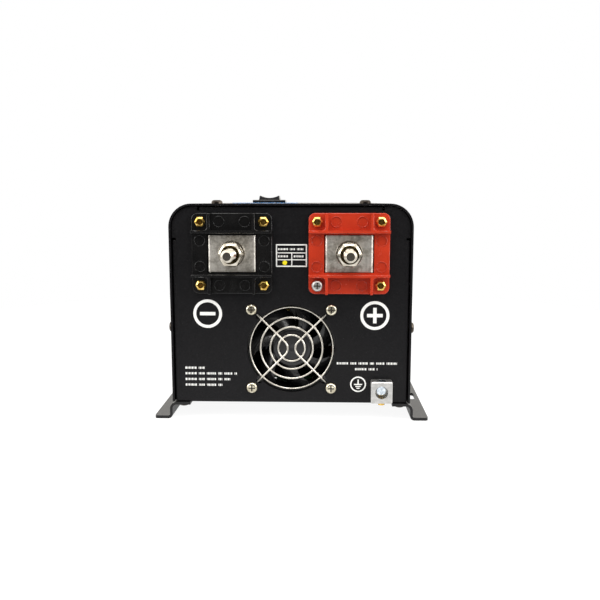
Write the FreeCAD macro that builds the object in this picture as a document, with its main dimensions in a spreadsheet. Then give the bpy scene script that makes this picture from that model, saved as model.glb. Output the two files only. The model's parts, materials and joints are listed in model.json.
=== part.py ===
import FreeCAD, Part
import math
import os
import re
import Sketcher

# A low-frequency power inverter in a black sheet-steel case.
# Frame: +Z up, origin on the floor at the middle of the four mounting slots,
# the battery (DC) end faces -Y and the mains (AC) end faces +Y.

DIMENSIONS = {
    # case
    "case_width": 188, "case_length": 362, "case_top": 170, "case_bottom": 13.5, "sheet_wall": 1.5,
    "cover_corner": 18, "cover_skirt_gap": 0.4, "panel_gap": 0.8, "close_gap": 0.1,
    "panel_recess": 1.5, "flange_depth": 13, "top_flange_half": 70, "side_flange_top": 142,
    "side_flange_bottom": 16, "bottom_flange_half": 88, "relief_width": 1.8, "relief_depth": 3,
    "relief_over": 2, "bend_radius": 1.4, "shortest_bend": 60, "pan_length": 330, "pan_wall_height": 20,
    "pan_side_gap": 1, "vent_width": 4, "vent_length": 34, "vent_height": 52, "vent_pitch": 15.5,
    "vent_count": 15, "floor_vent_length": 60, "floor_vent_pitch": 12, "floor_vent_count": 8,
    "floor_vent_start": -110,
    # feet
    "foot_web_inner": 94.3, "foot_wall": 2.1, "foot_outer": 108.6, "foot_flange": 2.4,
    "foot_leg_inner": 80, "foot_upper_bend": 3.5, "foot_lower_bend": 1.5, "foot_tip_radius": 2.4,
    "foot_screw_x": 86.5,
    "foot_screw_mid": 60, "foot_screw_end": 172, "mount_slot_length": 20, "mount_slot_width": 6.5,
    "mount_slot_x": 102.5, "mount_slot_y": 117.5,
    # screws
    "screw_shank": 2, "screw_hole": 2.2, "pan_head_radius": 4.4, "pan_head_height": 2.7,
    "pan_head_round": 2.1, "recess_arm": 2.6, "recess_width": 1, "recess_depth": 1.5,
    "cover_screw_x": 57.4, "cover_screw_y": 172, "side_screw_z": 73, "upper_screw_z": 128,
    "short_shank": 7, "fan_shank": 31, "thread_gap": 0.05, "fuse_overlap": 0.1,
    # battery terminals
    "terminal_x": 45, "terminal_z": 131.8, "block_size": 62, "block_floor": 3, "block_corner": 5,
    "rib_height": 9, "rib_wall": 2.2, "rib_across_z": 16.8, "rib_upright_x": 17.2,
    "pocket_round": 2.6, "boss_width": 42.4, "boss_height": 33.2, "boss_depth": 7,
    "well_width": 38.2, "well_height": 29.2, "boss_clearance": 0.4, "insert_spacing": 48.6,
    "insert_flats": 7.5, "insert_proud": 2, "insert_barrel": 3.1, "insert_hole": 3.15,
    "insert_depth": 9, "insert_floor": 1, "insert_bore": 1.65, "terminal_screw_shank": 7,
    "mark_radius": 3.8, "mark_depth": 0.3, "mark_far": 24.4, "mark_side": 24.8, "mark_near": 10,
    "plate_width": 37.4, "plate_height": 28.4, "plate_depth": 4, "plate_proud": 3.5,
    "plate_edge": 2.4, "stud_radius": 4.9, "stud_shank": 4.5, "stud_relief": 0.3, "stud_hole": 5.1,
    "stud_proud": 33, "stud_tip": 2.8, "stud_chamfer": 2.2, "nut_flats": 16.6, "nut_height": 8,
    "nut_chamfer": 1.2, "nut_bore": 4.55, "washer_radius": 10.3, "washer_height": 1.6,
    "lock_radius": 8.9, "lock_height": 2, "lock_slit": 1, "head_flats": 16, "head_height": 6.4,
    "strap_wall": 3, "strap_width": 26, "strap_run": 138, "strap_foot": 12,
    # fans
    "fan_x": 0.5, "fan_z": 56.8, "rear_fan_x": 48, "fan_size": 70, "fan_depth": 25, "fan_corner": 4,
    "fan_bore": 33.9, "fan_opening": 34.9, "fan_hole_half": 31.2, "notch_reach": 25.4,
    "notch_radius": 2.6, "fan_rest": 3.2, "spider_root": 1, "spider_wall": 3, "spider_width": 5,
    "motor_radius": 15, "hub_radius": 15.6, "hub_front": 2, "hub_depth": 17, "hub_round": 1.6,
    "blade_reach": 33, "blade_root": 2, "blade_over": 1, "blade_wall": 1.5, "blade_inset": 0.5,
    "blade_chord": 20, "blade_pitch": 38, "blade_count": 7, "axle_radius": 1.5, "axle_hole": 1.56,
    "axle_length": 24, "guard_wire": 0.75, "guard_ring_a": 10.5, "guard_ring_b": 16.9,
    "guard_ring_c": 24.5, "guard_ring_d": 32.9, "guard_bend": 7.2, "guard_eye": 2.95,
    "guard_setback": 0.9, "guard_ring_back": 1.2, "fan_nut_flats": 7, "fan_nut_height": 3.2,
    "fan_nut_chamfer": 0.65,
    # ground lug
    "lug_x": 71.1, "lug_z": 24.5, "lug_width": 16.5, "lug_depth": 9.2, "lug_bottom": 15.7,
    "lug_height": 17.2, "lug_bore": 5, "lug_back": 2, "lug_clamp_y": 5.1, "lug_edge": 0.6,
    "lug_fixing_hole": 2.6, "clamp_radius": 3.4, "clamp_hole": 3.5, "clamp_length": 3.9,
    "fixing_head": 3.85, "fixing_head_height": 2, "fixing_length": 9, "slot_width": 0.9,
    "bush_radius": 2.6, "bush_hole": 2.65, "bush_drop": 1.7, "bush_height": 5,
    # control overlay and rocker switch
    "overlay_x": -28.5, "overlay_y": -38, "overlay_width": 57, "overlay_length": 92,
    "overlay_wall": 0.4, "overlay_corner": 4, "switch_x": -25.3, "switch_y": -47,
    "bezel_width": 30.6, "bezel_length": 25, "bezel_height": 2.7, "bezel_edge": 0.9,
    "switch_body_width": 26.4, "switch_body_length": 20.8, "switch_body_depth": 20,
    "switch_mouth_width": 21.2, "switch_mouth_length": 18.4, "switch_floor": 2, "rocker_half": 9,
    "rocker_waist": 9.8, "rocker_length": 17.6, "rocker_top": 5.9, "rocker_dish": 19,
    "rocker_sag": 2, "rocker_lip": 1, "rocker_skirt": 2, "rocker_foot": 6, "rocker_drop": 5,
    "rocker_pivot_lift": 1, "pin_radius": 1.2, "pin_hole": 1.27, "pin_span": 19.8,
    "pin_pocket": 20.2, "light_radius": 1.5, "light_hole": 1.7, "light_lift": 0.9, "light_y": -8,
    "light_spacing": 13, "light_depth": 6,
    # mains end
    "outlet_x": -52, "outlet_z": 129.5, "outlet_width": 33.5, "outlet_height": 67,
    "outlet_proud": 4, "outlet_edge": 1.6, "outlet_body_width": 28, "outlet_body_height": 60,
    "outlet_body_depth": 36, "outlet_hole_gap": 0.4, "outlet_socket_z": 20.5, "blade_slot_x": 6.35,
    "blade_slot_width": 2.2, "blade_slot_height": 8.2, "slot_shift": 1, "earth_hole_radius": 2.6,
    "earth_hole_drop": 9.5, "socket_depth": 14, "button_width": 10, "button_height": 4.6,
    "button_gap": 0.35, "button_z": 3.4, "button_proud": 1.4, "button_depth": 7,
    "button_pocket": 10, "breaker_x": -8, "input_breaker_z": 146, "output_breaker_z": 116,
    "breaker_ring": 9, "breaker_ring_height": 4, "breaker_barrel": 5.9, "breaker_hole": 6,
    "breaker_body_width": 16, "breaker_body_height": 27, "breaker_body_depth": 28,
    "breaker_bore": 3.7, "breaker_bore_depth": 14, "plunger_radius": 3.6, "plunger_proud": 3,
    "plunger_length": 12, "plunger_round": 0.9, "knob_x": 30, "knob_z": 136, "knob_radius": 13,
    "knob_height": 14, "knob_skirt": 3, "knob_lift": 0.6, "knob_edge": 1, "grip_width": 5.5,
    "knob_bore": 3.06, "knob_bore_depth": 10, "selector_shaft": 3, "selector_shaft_reach": 10,
    "selector_hole": 5.2, "selector_bush": 5, "selector_body": 13, "selector_body_depth": 14,
    "port_x": 66, "port_z": 136, "port_width": 15.5, "port_height": 14, "port_flange": 1.6,
    "port_flange_wall": 1.2, "port_depth": 16, "port_mouth_width": 11.7, "port_mouth_height": 8.6,
    "port_mouth_depth": 13, "port_key_width": 4.4, "port_key_height": 2.6, "port_key_lap": 0.1,
    "gland_near_x": -14, "gland_far_x": -60, "gland_z": 48, "gland_flats": 24,
    "gland_hex_height": 8, "gland_dome": 11.2, "gland_dome_height": 25, "gland_dome_round": 3,
    "gland_bore": 6, "gland_thread": 9.8, "gland_hole": 10, "gland_nut_flats": 24,
    "gland_nut_height": 4, "gland_inner": 12,
    # inside
    "coil_y": 82, "coil_outer": 58, "coil_inner": 17, "coil_bottom": 18, "coil_top": 68,
    "coil_round": 9, "pad_height": 2.6, "pad_outer": 45, "pad_gap": 0.1, "clamp_disc": 42,
    "clamp_wall": 3, "clamp_bolt": 4, "clamp_bolt_hole": 4.3, "clamp_bolt_head": 6.5,
    "clamp_bolt_head_height": 5, "clamp_bolt_root": 0.5, "board_half_width": 76,
    "board_front": -141, "board_length": 138, "board_wall": 1.6, "board_bottom": 24,
    "spacer_radius": 3, "spacer_x": 68, "spacer_end": 6, "sink_inner": 62, "sink_wall": 4,
    "sink_reach": 24, "sink_fin": 2, "sink_fins": 8, "sink_height": 82, "sink_front": -122,
    "sink_length": 116, "board_seat": 0.1, "transistor_width": 10.2, "transistor_wall": 4.4,
    "transistor_height": 15.6, "transistor_count": 6, "transistor_pitch": 16, "transistor_lift": 6,
    "transistor_front": -110, "capacitor_radius": 11, "capacitor_height": 40,
    "capacitor_pitch_x": 26, "capacitor_pitch_y": 27, "capacitor_front": -108,
    "capacitor_round": 1.5, "control_board_bottom": 124, "control_board_half": 78,
    "control_board_front": -112, "control_board_length": 98, "control_spacer_x": 72,
}

# Every size that a feature asks for is one of these words or a sum of them.
doc = FreeCAD.newDocument("power_inverter")
sheet = doc.addObject("Spreadsheet::Sheet", "Sizes")
for sheet_row, (alias, value) in enumerate(DIMENSIONS.items(), start=1):
    sheet.set("A%d" % sheet_row, alias)
    sheet.set("B%d" % sheet_row, str(value))
    sheet.setAlias("B%d" % sheet_row, alias)
doc.recompute()

X_AXIS = FreeCAD.Vector(1, 0, 0)
Y_AXIS = FreeCAD.Vector(0, 1, 0)
Z_AXIS = FreeCAD.Vector(0, 0, 1)
UPRIGHT = FreeCAD.Rotation()
FACING_FRONT = FreeCAD.Rotation(X_AXIS, 90)      # local +Z looks along -Y
FACING_BACK = FreeCAD.Rotation(X_AXIS, -90)      # local +Z looks along +Y
FACING_RIGHT = FreeCAD.Rotation(Y_AXIS, 90)      # local +Z looks along +X
FACING_LEFT = FreeCAD.Rotation(Y_AXIS, -90)      # local +Z looks along -X
FACING_DOWN = FreeCAD.Rotation(X_AXIS, 180)
TURNED_ROUND = FreeCAD.Rotation(Z_AXIS, 180)
NEAR = 1e-4
SIDES = (-1, 1)
nodes = {}


# ---------------------------------------------------------------- shared tools

def with_sheet(text):
    """The expression text with every dimension word pointed at the sheet."""
    return re.sub(r"[a-z][a-z_]+", lambda word: "Sizes." + word.group()
                  if word.group() in DIMENSIONS else word.group(), str(text))


def number(text):
    """The value of an expression, in millimetres."""
    return float(sheet.evalExpression(with_sheet(text)))


def bind(item, name, text):
    item.setExpression(name, with_sheet(text))


def place(item, x=0, y=0, z=0, rotation=UPRIGHT):
    """Turn an object and bind its position to the sheet."""
    item.Placement = FreeCAD.Placement(FreeCAD.Vector(), rotation)
    for axis, text in zip("xyz", (x, y, z)):
        bind(item, ".Placement.Base." + axis, text)
    return item


def node(name, item):
    """Name a finished sub-part."""
    item.Label = name
    nodes[name] = item
    return item


def box(x, y, z, width, length, height):
    item = doc.addObject("Part::Box", "Box")
    for name, text in (("Length", width), ("Width", length), ("Height", height)):
        bind(item, name, text)
    return place(item, x, y, z)


def cylinder(radius, height, x=0, y=0, z=0, rotation=UPRIGHT):
    item = doc.addObject("Part::Cylinder", "Cylinder")
    bind(item, "Radius", radius)
    bind(item, "Height", height)
    return place(item, x, y, z, rotation)


def hexagon(flats, height, x=0, y=0, z=0, rotation=UPRIGHT):
    item = doc.addObject("Part::Prism", "Hexagon")
    item.Polygon = 6
    bind(item, "Circumradius", "(%s) / 2 / cos(30)" % flats)
    bind(item, "Height", height)
    return place(item, x, y, z, rotation)


def ring(major, minor, x=0, y=0, z=0, rotation=UPRIGHT, sweep=360):
    item = doc.addObject("Part::Torus", "Ring")
    bind(item, "Radius1", major)
    bind(item, "Radius2", minor)
    item.Angle3 = sweep
    return place(item, x, y, z, rotation)


def fuse(*items):
    item = doc.addObject("Part::MultiFuse", "Joined")
    item.Shapes = list(items)
    return item


def cut(base, *tools):
    item = doc.addObject("Part::Cut", "Cut")
    item.Base = base
    item.Tool = tools[0] if len(tools) == 1 else fuse(*tools)
    return item


def common(first, second):
    item = doc.addObject("Part::Common", "Shared")
    item.Base = first
    item.Tool = second
    return item


def group(items):
    item = doc.addObject("Part::Compound", "Group")
    item.Links = list(items)
    return item


def copies(master, places):
    """Linked copies of one master at each (x, y, z, rotation), as one group."""
    linked = []
    for x, y, z, rotation in places:
        item = doc.addObject("App::Link", "Copy")
        item.LinkedObject = master
        item.LinkPlacement = FreeCAD.Placement(FreeCAD.Vector(), rotation)
        for axis, text in zip("xyz", (x, y, z)):
            bind(item, ".LinkPlacement.Base." + axis, text)
        linked.append(item)
    return group(linked)


def new_body(name):
    return doc.addObject("PartDesign::Body", name)


def sketch_on(body, plane, offset=0):
    """A sketch on one of the body's own origin planes, moved along its normal."""
    item = body.newObject("Sketcher::SketchObject", "Sketch")
    origin_plane = next(part for part in body.Origin.OriginFeatures if part.Role == plane)
    item.AttachmentSupport = [(origin_plane, "")]
    item.MapMode = "FlatFace"
    bind(item, ".AttachmentOffset.Base.z", offset)
    return item


def hold(sketch, geometry, point, x, y):
    """Fix one sketch point to the sheet, from the sketch's origin."""
    for kind, text in (("DistanceX", x), ("DistanceY", y)):
        rule = sketch.addConstraint(Sketcher.Constraint(kind, -1, 1, geometry, point, number(text)))
        bind(sketch, "Constraints[%d]" % rule, text)


def polygon(sketch, points):
    """A closed outline through points given as pairs of expressions."""
    first = sketch.GeometryCount
    corners = [FreeCAD.Vector(number(x), number(y), 0) for x, y in points]
    for corner, following in zip(corners, corners[1:] + corners[:1]):
        sketch.addGeometry(Part.LineSegment(corner, following), False)
    for index, (x, y) in enumerate(points):
        following = (index + 1) % len(points)
        sketch.addConstraint(Sketcher.Constraint("Coincident", first + index, 2, first + following, 1))
        hold(sketch, first + index, 1, x, y)
    return sketch


def rectangle(sketch, x, y, width, height):
    """A rectangle about the centre x, y."""
    left, right = "(%s) - (%s) / 2" % (x, width), "(%s) + (%s) / 2" % (x, width)
    low, high = "(%s) - (%s) / 2" % (y, height), "(%s) + (%s) / 2" % (y, height)
    return polygon(sketch, [(left, low), (right, low), (right, high), (left, high)])


def circle(sketch, x, y, radius):
    centre = FreeCAD.Vector(number(x), number(y), 0)
    index = sketch.addGeometry(Part.Circle(centre, Z_AXIS, number(radius)), False)
    rule = sketch.addConstraint(Sketcher.Constraint("Radius", index, number(radius)))
    bind(sketch, "Constraints[%d]" % rule, radius)
    hold(sketch, index, 3, x, y)
    return sketch


def upright_slot(sketch, x, y, width, length):
    """A round-ended slot along the sketch's vertical direction."""
    radius = number(width) / 2
    reach = "((%s) - (%s)) / 2" % (length, width)
    left, right = "(%s) - (%s) / 2" % (x, width), "(%s) + (%s) / 2" % (x, width)
    low, high = "(%s) - %s" % (y, reach), "(%s) + %s" % (y, reach)
    bottom = FreeCAD.Vector(number(x), number(low), 0)
    top = FreeCAD.Vector(number(x), number(high), 0)
    out = FreeCAD.Vector(radius, 0, 0)
    first = sketch.GeometryCount
    sketch.addGeometry(Part.LineSegment(bottom + out, top + out), False)
    sketch.addGeometry(Part.ArcOfCircle(Part.Circle(top, Z_AXIS, radius), 0, math.pi), False)
    sketch.addGeometry(Part.LineSegment(top - out, bottom - out), False)
    sketch.addGeometry(Part.ArcOfCircle(Part.Circle(bottom, Z_AXIS, radius), math.pi, 2 * math.pi), False)
    for index in range(4):
        following = first + (index + 1) % 4
        sketch.addConstraint(Sketcher.Constraint("Coincident", first + index, 2, following, 1))
    hold(sketch, first, 1, right, low)
    hold(sketch, first, 2, right, high)
    hold(sketch, first + 2, 1, left, high)
    hold(sketch, first + 2, 2, left, low)
    for arc, height in ((first + 1, high), (first + 3, low)):
        rule = sketch.addConstraint(Sketcher.Constraint("DistanceY", -1, 1, arc, 3, number(height)))
        bind(sketch, "Constraints[%d]" % rule, height)
    return sketch


def feature(body, kind, sketch, length=None, reverse=False, centred=False):
    """A pad or a pocket; a pocket without a length goes right through."""
    item = body.newObject("PartDesign::" + kind, kind)
    item.Profile = sketch
    if length is None:
        item.Type = "ThroughAll"
    else:
        bind(item, "Length", length)
    item.Reversed = reverse
    if centred:
        item.SideType = "Symmetric"
    return item


def pad(body, sketch, length, reverse=False, centred=False):
    return feature(body, "Pad", sketch, length, reverse, centred)


def pocket(body, sketch, length=None, reverse=False, centred=False):
    """Cut a pocket and make sure that it took material away."""
    doc.recompute()
    before = body.Shape.Volume
    item = feature(body, "Pocket", sketch, length, reverse, centred)
    doc.recompute()
    if body.Shape.Volume > before - NEAR:
        raise ValueError("a pocket of %s cuts nothing" % body.Label)
    return item


def round_edges(body, radius, chosen, kind="Fillet"):
    """Fillet or chamfer every edge that chosen(middle, edge) accepts."""
    doc.recompute()
    base = body.Tip
    names = []
    for index, edge in enumerate(base.Shape.Edges, start=1):
        middle = edge.valueAt((edge.FirstParameter + edge.LastParameter) / 2)
        if chosen(middle, edge):
            names.append("Edge%d" % index)
    if not names:
        raise ValueError("no edge of %s was chosen" % body.Label)
    item = body.newObject("PartDesign::" + kind, kind)
    item.Base = (base, names)
    bind(item, "Radius" if kind == "Fillet" else "Size", radius)
    return item


def runs_along(edge, direction):
    """True for a straight edge in the given direction."""
    if edge.Curve.TypeId != "Part::GeomLine":
        return False
    return edge.Curve.Direction.cross(direction).Length < NEAR


def turned(name, points):
    """A body turned about its Z axis from a half outline of (radius, height) pairs."""
    body = new_body(name)
    item = body.newObject("PartDesign::Revolution", "Revolution")
    sketch = polygon(sketch_on(body, "XZ_Plane"), points)
    item.Profile = sketch
    item.ReferenceAxis = (sketch, ["V_Axis"])
    body.Tip = item
    return body


def round_rim(body, radius, height):
    """Fillet the circular edges of a turned body at one height."""
    level = number(height)
    return round_edges(body, radius, lambda middle, edge:
                       abs(middle.z - level) < NEAR and edge.Curve.TypeId == "Part::GeomCircle"
                       and edge.BoundBox.ZLength < NEAR)


# ---------------------------------------------------------------- fasteners

def pan_screw(shank):
    """A cross-recessed pan-head screw, head up, seated at its own origin."""
    body = turned("pan_screw", [
        (0, "-(%s)" % shank), ("screw_shank", "-(%s)" % shank), ("screw_shank", 0),
        ("pan_head_radius", 0), ("pan_head_radius", "pan_head_height"), (0, "pan_head_height")])
    round_rim(body, "pan_head_round", "pan_head_height")
    for across in (False, True):
        arm = ("2 * recess_arm", "recess_width")
        width, height = reversed(arm) if across else arm
        sketch = rectangle(sketch_on(body, "XY_Plane", "pan_head_height"), 0, 0, width, height)
        pocket(body, sketch, "recess_depth")
    return body


def chamfered_nut(flats, height, bore, chamfer):
    """A hexagon nut whose corners are turned down at both faces."""
    edge = "(%s) / 2 / cos(30)" % flats
    blank = turned("nut_blank", [
        (bore, 0), ("(%s) - (%s)" % (edge, chamfer), 0), (edge, "(%s) / 2" % chamfer),
        (edge, "(%s) - (%s) / 2" % (height, chamfer)), ("(%s) - (%s)" % (edge, chamfer), height),
        (bore, height)])
    return common(hexagon(flats, height), blank)


# ---------------------------------------------------------------- case

def base_pan():
    """The floor of the case, with turned-up sides."""
    body = new_body("base_pan_body")
    half = "case_width / 2 - sheet_wall - pan_side_gap"
    inner = half + " - sheet_wall"
    low, floor, high = "case_bottom", "case_bottom + sheet_wall", "case_bottom + pan_wall_height"
    outline = [("-(%s)" % half, low), (half, low), (half, high), (inner, high), (inner, floor),
               ("-(%s)" % inner, floor), ("-(%s)" % inner, high), ("-(%s)" % half, high)]
    pad(body, polygon(sketch_on(body, "XZ_Plane"), outline), "pan_length", centred=True)
    bottom = number("case_bottom")
    round_edges(body, "bend_radius", lambda middle, edge:
                runs_along(edge, Y_AXIS) and abs(middle.z - bottom) < NEAR)
    holes = sketch_on(body, "XY_Plane", floor)
    circle(holes, 0, "coil_y", "clamp_bolt_hole")
    for side in SIDES:
        for end in SIDES:
            circle(holes, "%d * foot_screw_x" % side, "%d * foot_screw_mid" % end, "screw_hole")
    pocket(body, holes)
    vent = sketch_on(body, "XY_Plane", floor)
    upright_slot(vent, "-3.5 * floor_vent_pitch", "floor_vent_start + floor_vent_length / 2",
                 "vent_width", "floor_vent_length")
    first = pocket(body, vent)
    repeat(body, first, vent, "H_Axis", "(floor_vent_count - 1) * floor_vent_pitch",
           "floor_vent_count")
    return node("base_pan", body)


def repeat(body, first, sketch, axis, span, count):
    """Repeat a feature along one axis of its sketch."""
    pattern = body.newObject("PartDesign::LinearPattern", "LinearPattern")
    pattern.Originals = [first]
    pattern.Direction = (sketch, [axis])
    bind(pattern, "Length", span)
    bind(pattern, "Occurrences", count)
    body.Tip = pattern
    return pattern


def top_cover():
    """The cover that wraps over the top and both sides."""
    body = new_body("top_cover_body")
    half = "case_width / 2"
    inner = "(case_width / 2 - sheet_wall)"
    low, high = "case_bottom + cover_skirt_gap", "case_top"
    ceiling = "case_top - sheet_wall"
    outline = [("-" + half, low), ("-" + half, high), (half, high), (half, low), (inner, low),
               (inner, ceiling), ("-" + inner, ceiling), ("-" + inner, low)]
    pad(body, polygon(sketch_on(body, "XZ_Plane"), outline), "case_length", centred=True)
    top = number("case_top")
    under = number(ceiling)
    round_edges(body, "cover_corner", lambda middle, edge: runs_along(edge, Y_AXIS)
                and abs(middle.z - top) < NEAR)
    round_edges(body, "cover_corner - sheet_wall", lambda middle, edge: runs_along(edge, Y_AXIS)
                and abs(middle.z - under) < NEAR and abs(abs(middle.x) - number(inner)) < NEAR)
    holes = sketch_on(body, "XY_Plane", "case_top")
    rectangle(holes, "switch_x", "switch_y", "switch_body_width + 2 * boss_clearance",
              "switch_body_length + 2 * boss_clearance")
    for side in SIDES:
        circle(holes, "%d * cover_screw_x" % side, "-cover_screw_y", "screw_hole")
    for step in (-1, 0, 1):
        circle(holes, "overlay_x + %d * light_spacing" % step, "light_y", "light_hole")
    pocket(body, holes)
    side_holes = sketch_on(body, "YZ_Plane")
    for end in SIDES:
        circle(side_holes, "%d * cover_screw_y" % end, "side_screw_z", "screw_hole")
    circle(side_holes, "cover_screw_y", "upper_screw_z", "screw_hole")
    pocket(body, side_holes, "case_width + sheet_wall", centred=True)
    vent = sketch_on(body, "YZ_Plane")
    upright_slot(vent, "-(vent_count - 1) / 2 * vent_pitch", "vent_height", "vent_width",
                 "vent_length")
    first = pocket(body, vent, "case_width + sheet_wall", centred=True)
    repeat(body, first, vent, "H_Axis", "(vent_count - 1) * vent_pitch", "vent_count")
    return node("top_cover", body)


def end_panel_blank(name, gap):
    """A flat end plate with flanges bent inwards, for either end of the case."""
    body = new_body(name)
    face = "case_length / 2 - panel_recess"
    half = "(case_width / 2 - sheet_wall - %s)" % gap
    high = "(case_top - sheet_wall - %s)" % gap
    low = "case_bottom"
    plate = polygon(sketch_on(body, "XZ_Plane", face),
                    [("-" + half, low), (half, low), (half, high), ("-" + half, high)])
    pad(body, plate, "sheet_wall", reverse=True)
    round_edges(body, "cover_corner - sheet_wall - " + gap, lambda middle, edge:
                runs_along(edge, Y_AXIS) and abs(middle.z - number(high)) < NEAR)
    flanges = sketch_on(body, "XZ_Plane", face)
    rectangle(flanges, 0, high + " - sheet_wall / 2", "2 * top_flange_half", "sheet_wall")
    rectangle(flanges, 0, low + " + sheet_wall / 2", "2 * bottom_flange_half", "sheet_wall")
    for side in SIDES:
        rectangle(flanges, "%d * (%s - sheet_wall / 2)" % (side, half),
                  "(side_flange_top + side_flange_bottom) / 2", "sheet_wall",
                  "side_flange_top - side_flange_bottom")
    pad(body, flanges, "flange_depth", reverse=True)
    reliefs = sketch_on(body, "XZ_Plane", face)
    for side in SIDES:
        rectangle(reliefs, "%d * (top_flange_half + relief_width / 2)" % side,
                  high + " - (relief_depth - relief_over) / 2", "relief_width",
                  "relief_depth + relief_over")
        rectangle(reliefs, "%d * (%s - (relief_depth - relief_over) / 2)" % (side, half),
                  "side_flange_top + relief_width / 2", "relief_depth + relief_over",
                  "relief_width")
    pocket(body, reliefs, "sheet_wall")
    front = -number(face)
    rims = {"top": number(high), "low": number(low), "side": number(half)}

    def is_bend(middle, edge):
        if abs(middle.y - front) > NEAR or edge.Length < number("shortest_bend"):
            return False
        level = abs(middle.z - rims["top"]) < NEAR or abs(middle.z - rims["low"]) < NEAR
        across = runs_along(edge, X_AXIS) and level
        upright = runs_along(edge, Z_AXIS) and abs(abs(middle.x) - rims["side"]) < NEAR
        return across or upright

    round_edges(body, "bend_radius", is_bend)
    return body


def flange_holes(body, heights):
    """Holes in the flanges for the foot screws and for side screws at the given heights."""
    below = sketch_on(body, "XY_Plane", "case_bottom")
    for side in SIDES:
        circle(below, "%d * foot_screw_x" % side, "-foot_screw_end", "screw_hole")
    pocket(body, below, "sheet_wall", reverse=True)
    level = sketch_on(body, "YZ_Plane")
    for height in heights:
        circle(level, "-cover_screw_y", height, "screw_hole")
    pocket(body, level, "case_width", centred=True)


def fan_window(body, x):
    """The round fan opening, its four corner notches and four screw holes."""
    face = "case_length / 2 - panel_recess"
    window = circle(sketch_on(body, "XZ_Plane", face), x, "fan_z", "fan_opening")
    for side in SIDES:
        for level in SIDES:
            circle(window, "(%s) + %d * fan_hole_half" % (x, side),
                   "fan_z + %d * fan_hole_half" % level, "screw_hole")
    pocket(body, window, "sheet_wall")
    notches = sketch_on(body, "XZ_Plane", face)
    for side in SIDES:
        for level in SIDES:
            circle(notches, "(%s) + %d * notch_reach" % (x, side),
                   "fan_z + %d * notch_reach" % level, "notch_radius")
    pocket(body, notches, "sheet_wall")


def dc_end_panel():
    """The battery end: two terminal windows, the fan opening and the ground screw hole."""
    body = end_panel_blank("dc_end_panel_body", "panel_gap")
    flange_holes(body, ["side_screw_z"])
    above = sketch_on(body, "XY_Plane", "case_top")
    for side in SIDES:
        circle(above, "%d * cover_screw_x" % side, "-cover_screw_y", "screw_hole")
    pocket(body, above, "flange_depth")
    fan_window(body, "fan_x")
    windows = sketch_on(body, "XZ_Plane", "case_length / 2 - panel_recess")
    for side in SIDES:
        rectangle(windows, "%d * terminal_x" % side, "terminal_z", "boss_width + 2 * boss_clearance",
                  "boss_height + 2 * boss_clearance")
        for across in SIDES:
            for level in SIDES:
                circle(windows, "%d * terminal_x + %d * insert_spacing / 2" % (side, across),
                       "terminal_z + %d * insert_spacing / 2" % level, "insert_hole + boss_clearance")
    circle(windows, "lug_x", "lug_z", "lug_fixing_hole")
    pocket(body, windows, "sheet_wall")
    return node("dc_end_panel", place(body))


def ac_end_panel():
    """The mains end, drawn as the battery end is and then turned round."""
    body = end_panel_blank("ac_end_panel_body", "close_gap")
    flange_holes(body, ["side_screw_z", "upper_screw_z"])
    fan_window(body, "-rear_fan_x")
    windows = sketch_on(body, "XZ_Plane", "case_length / 2 - panel_recess")
    rectangle(windows, "-outlet_x", "outlet_z", "outlet_body_width + 2 * outlet_hole_gap",
              "outlet_body_height + 2 * outlet_hole_gap")
    for height in ("input_breaker_z", "output_breaker_z"):
        circle(windows, "-breaker_x", height, "breaker_hole")
    circle(windows, "-knob_x", "knob_z", "selector_hole")
    rectangle(windows, "-port_x", "port_z", "port_width + 2 * outlet_hole_gap",
              "port_height + 2 * outlet_hole_gap")
    for across in ("gland_near_x", "gland_far_x"):
        circle(windows, "-" + across, "gland_z", "gland_hole")
    pocket(body, windows, "sheet_wall")
    return node("ac_end_panel", place(body, rotation=TURNED_ROUND))


def foot_rail(name, rotation):
    """A Z-section rail: its top leg holds the case and its flange has the mounting slots."""
    body = new_body(name + "_body")
    outer, web = "(foot_web_inner + foot_wall)", "foot_web_inner"
    leg = "case_bottom - foot_wall"
    outline = [("foot_leg_inner", "case_bottom"), (outer, "case_bottom"), (outer, "foot_flange"),
               ("foot_outer", "foot_flange"), ("foot_outer", 0), (web, 0), (web, leg),
               ("foot_leg_inner", leg)]
    pad(body, polygon(sketch_on(body, "XZ_Plane"), outline), "case_length", centred=True)
    for x, z, radius in ((web, leg, "foot_upper_bend"),
                         (outer, "case_bottom", "foot_upper_bend + foot_wall"),
                         (outer, "foot_flange", "foot_lower_bend"),
                         (web, "0", "foot_lower_bend + foot_wall")):
        across, level = number(x), number(z)
        round_edges(body, radius, lambda middle, edge: runs_along(edge, Y_AXIS)
                    and abs(middle.x - across) < NEAR and abs(middle.z - level) < NEAR)
    tip = number("foot_outer")
    round_edges(body, "foot_tip_radius", lambda middle, edge: runs_along(edge, Z_AXIS)
                and abs(middle.x - tip) < NEAR)
    holes = sketch_on(body, "XY_Plane", "case_bottom")
    for end in SIDES:
        upright_slot(holes, "mount_slot_x", "%d * mount_slot_y" % end, "mount_slot_width",
                     "mount_slot_length")
        circle(holes, "foot_screw_x", "%d * foot_screw_mid" % end, "screw_hole")
        circle(holes, "foot_screw_x", "%d * foot_screw_end" % end, "screw_hole")
    pocket(body, holes)
    return node(name, place(body, rotation=rotation))


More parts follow.
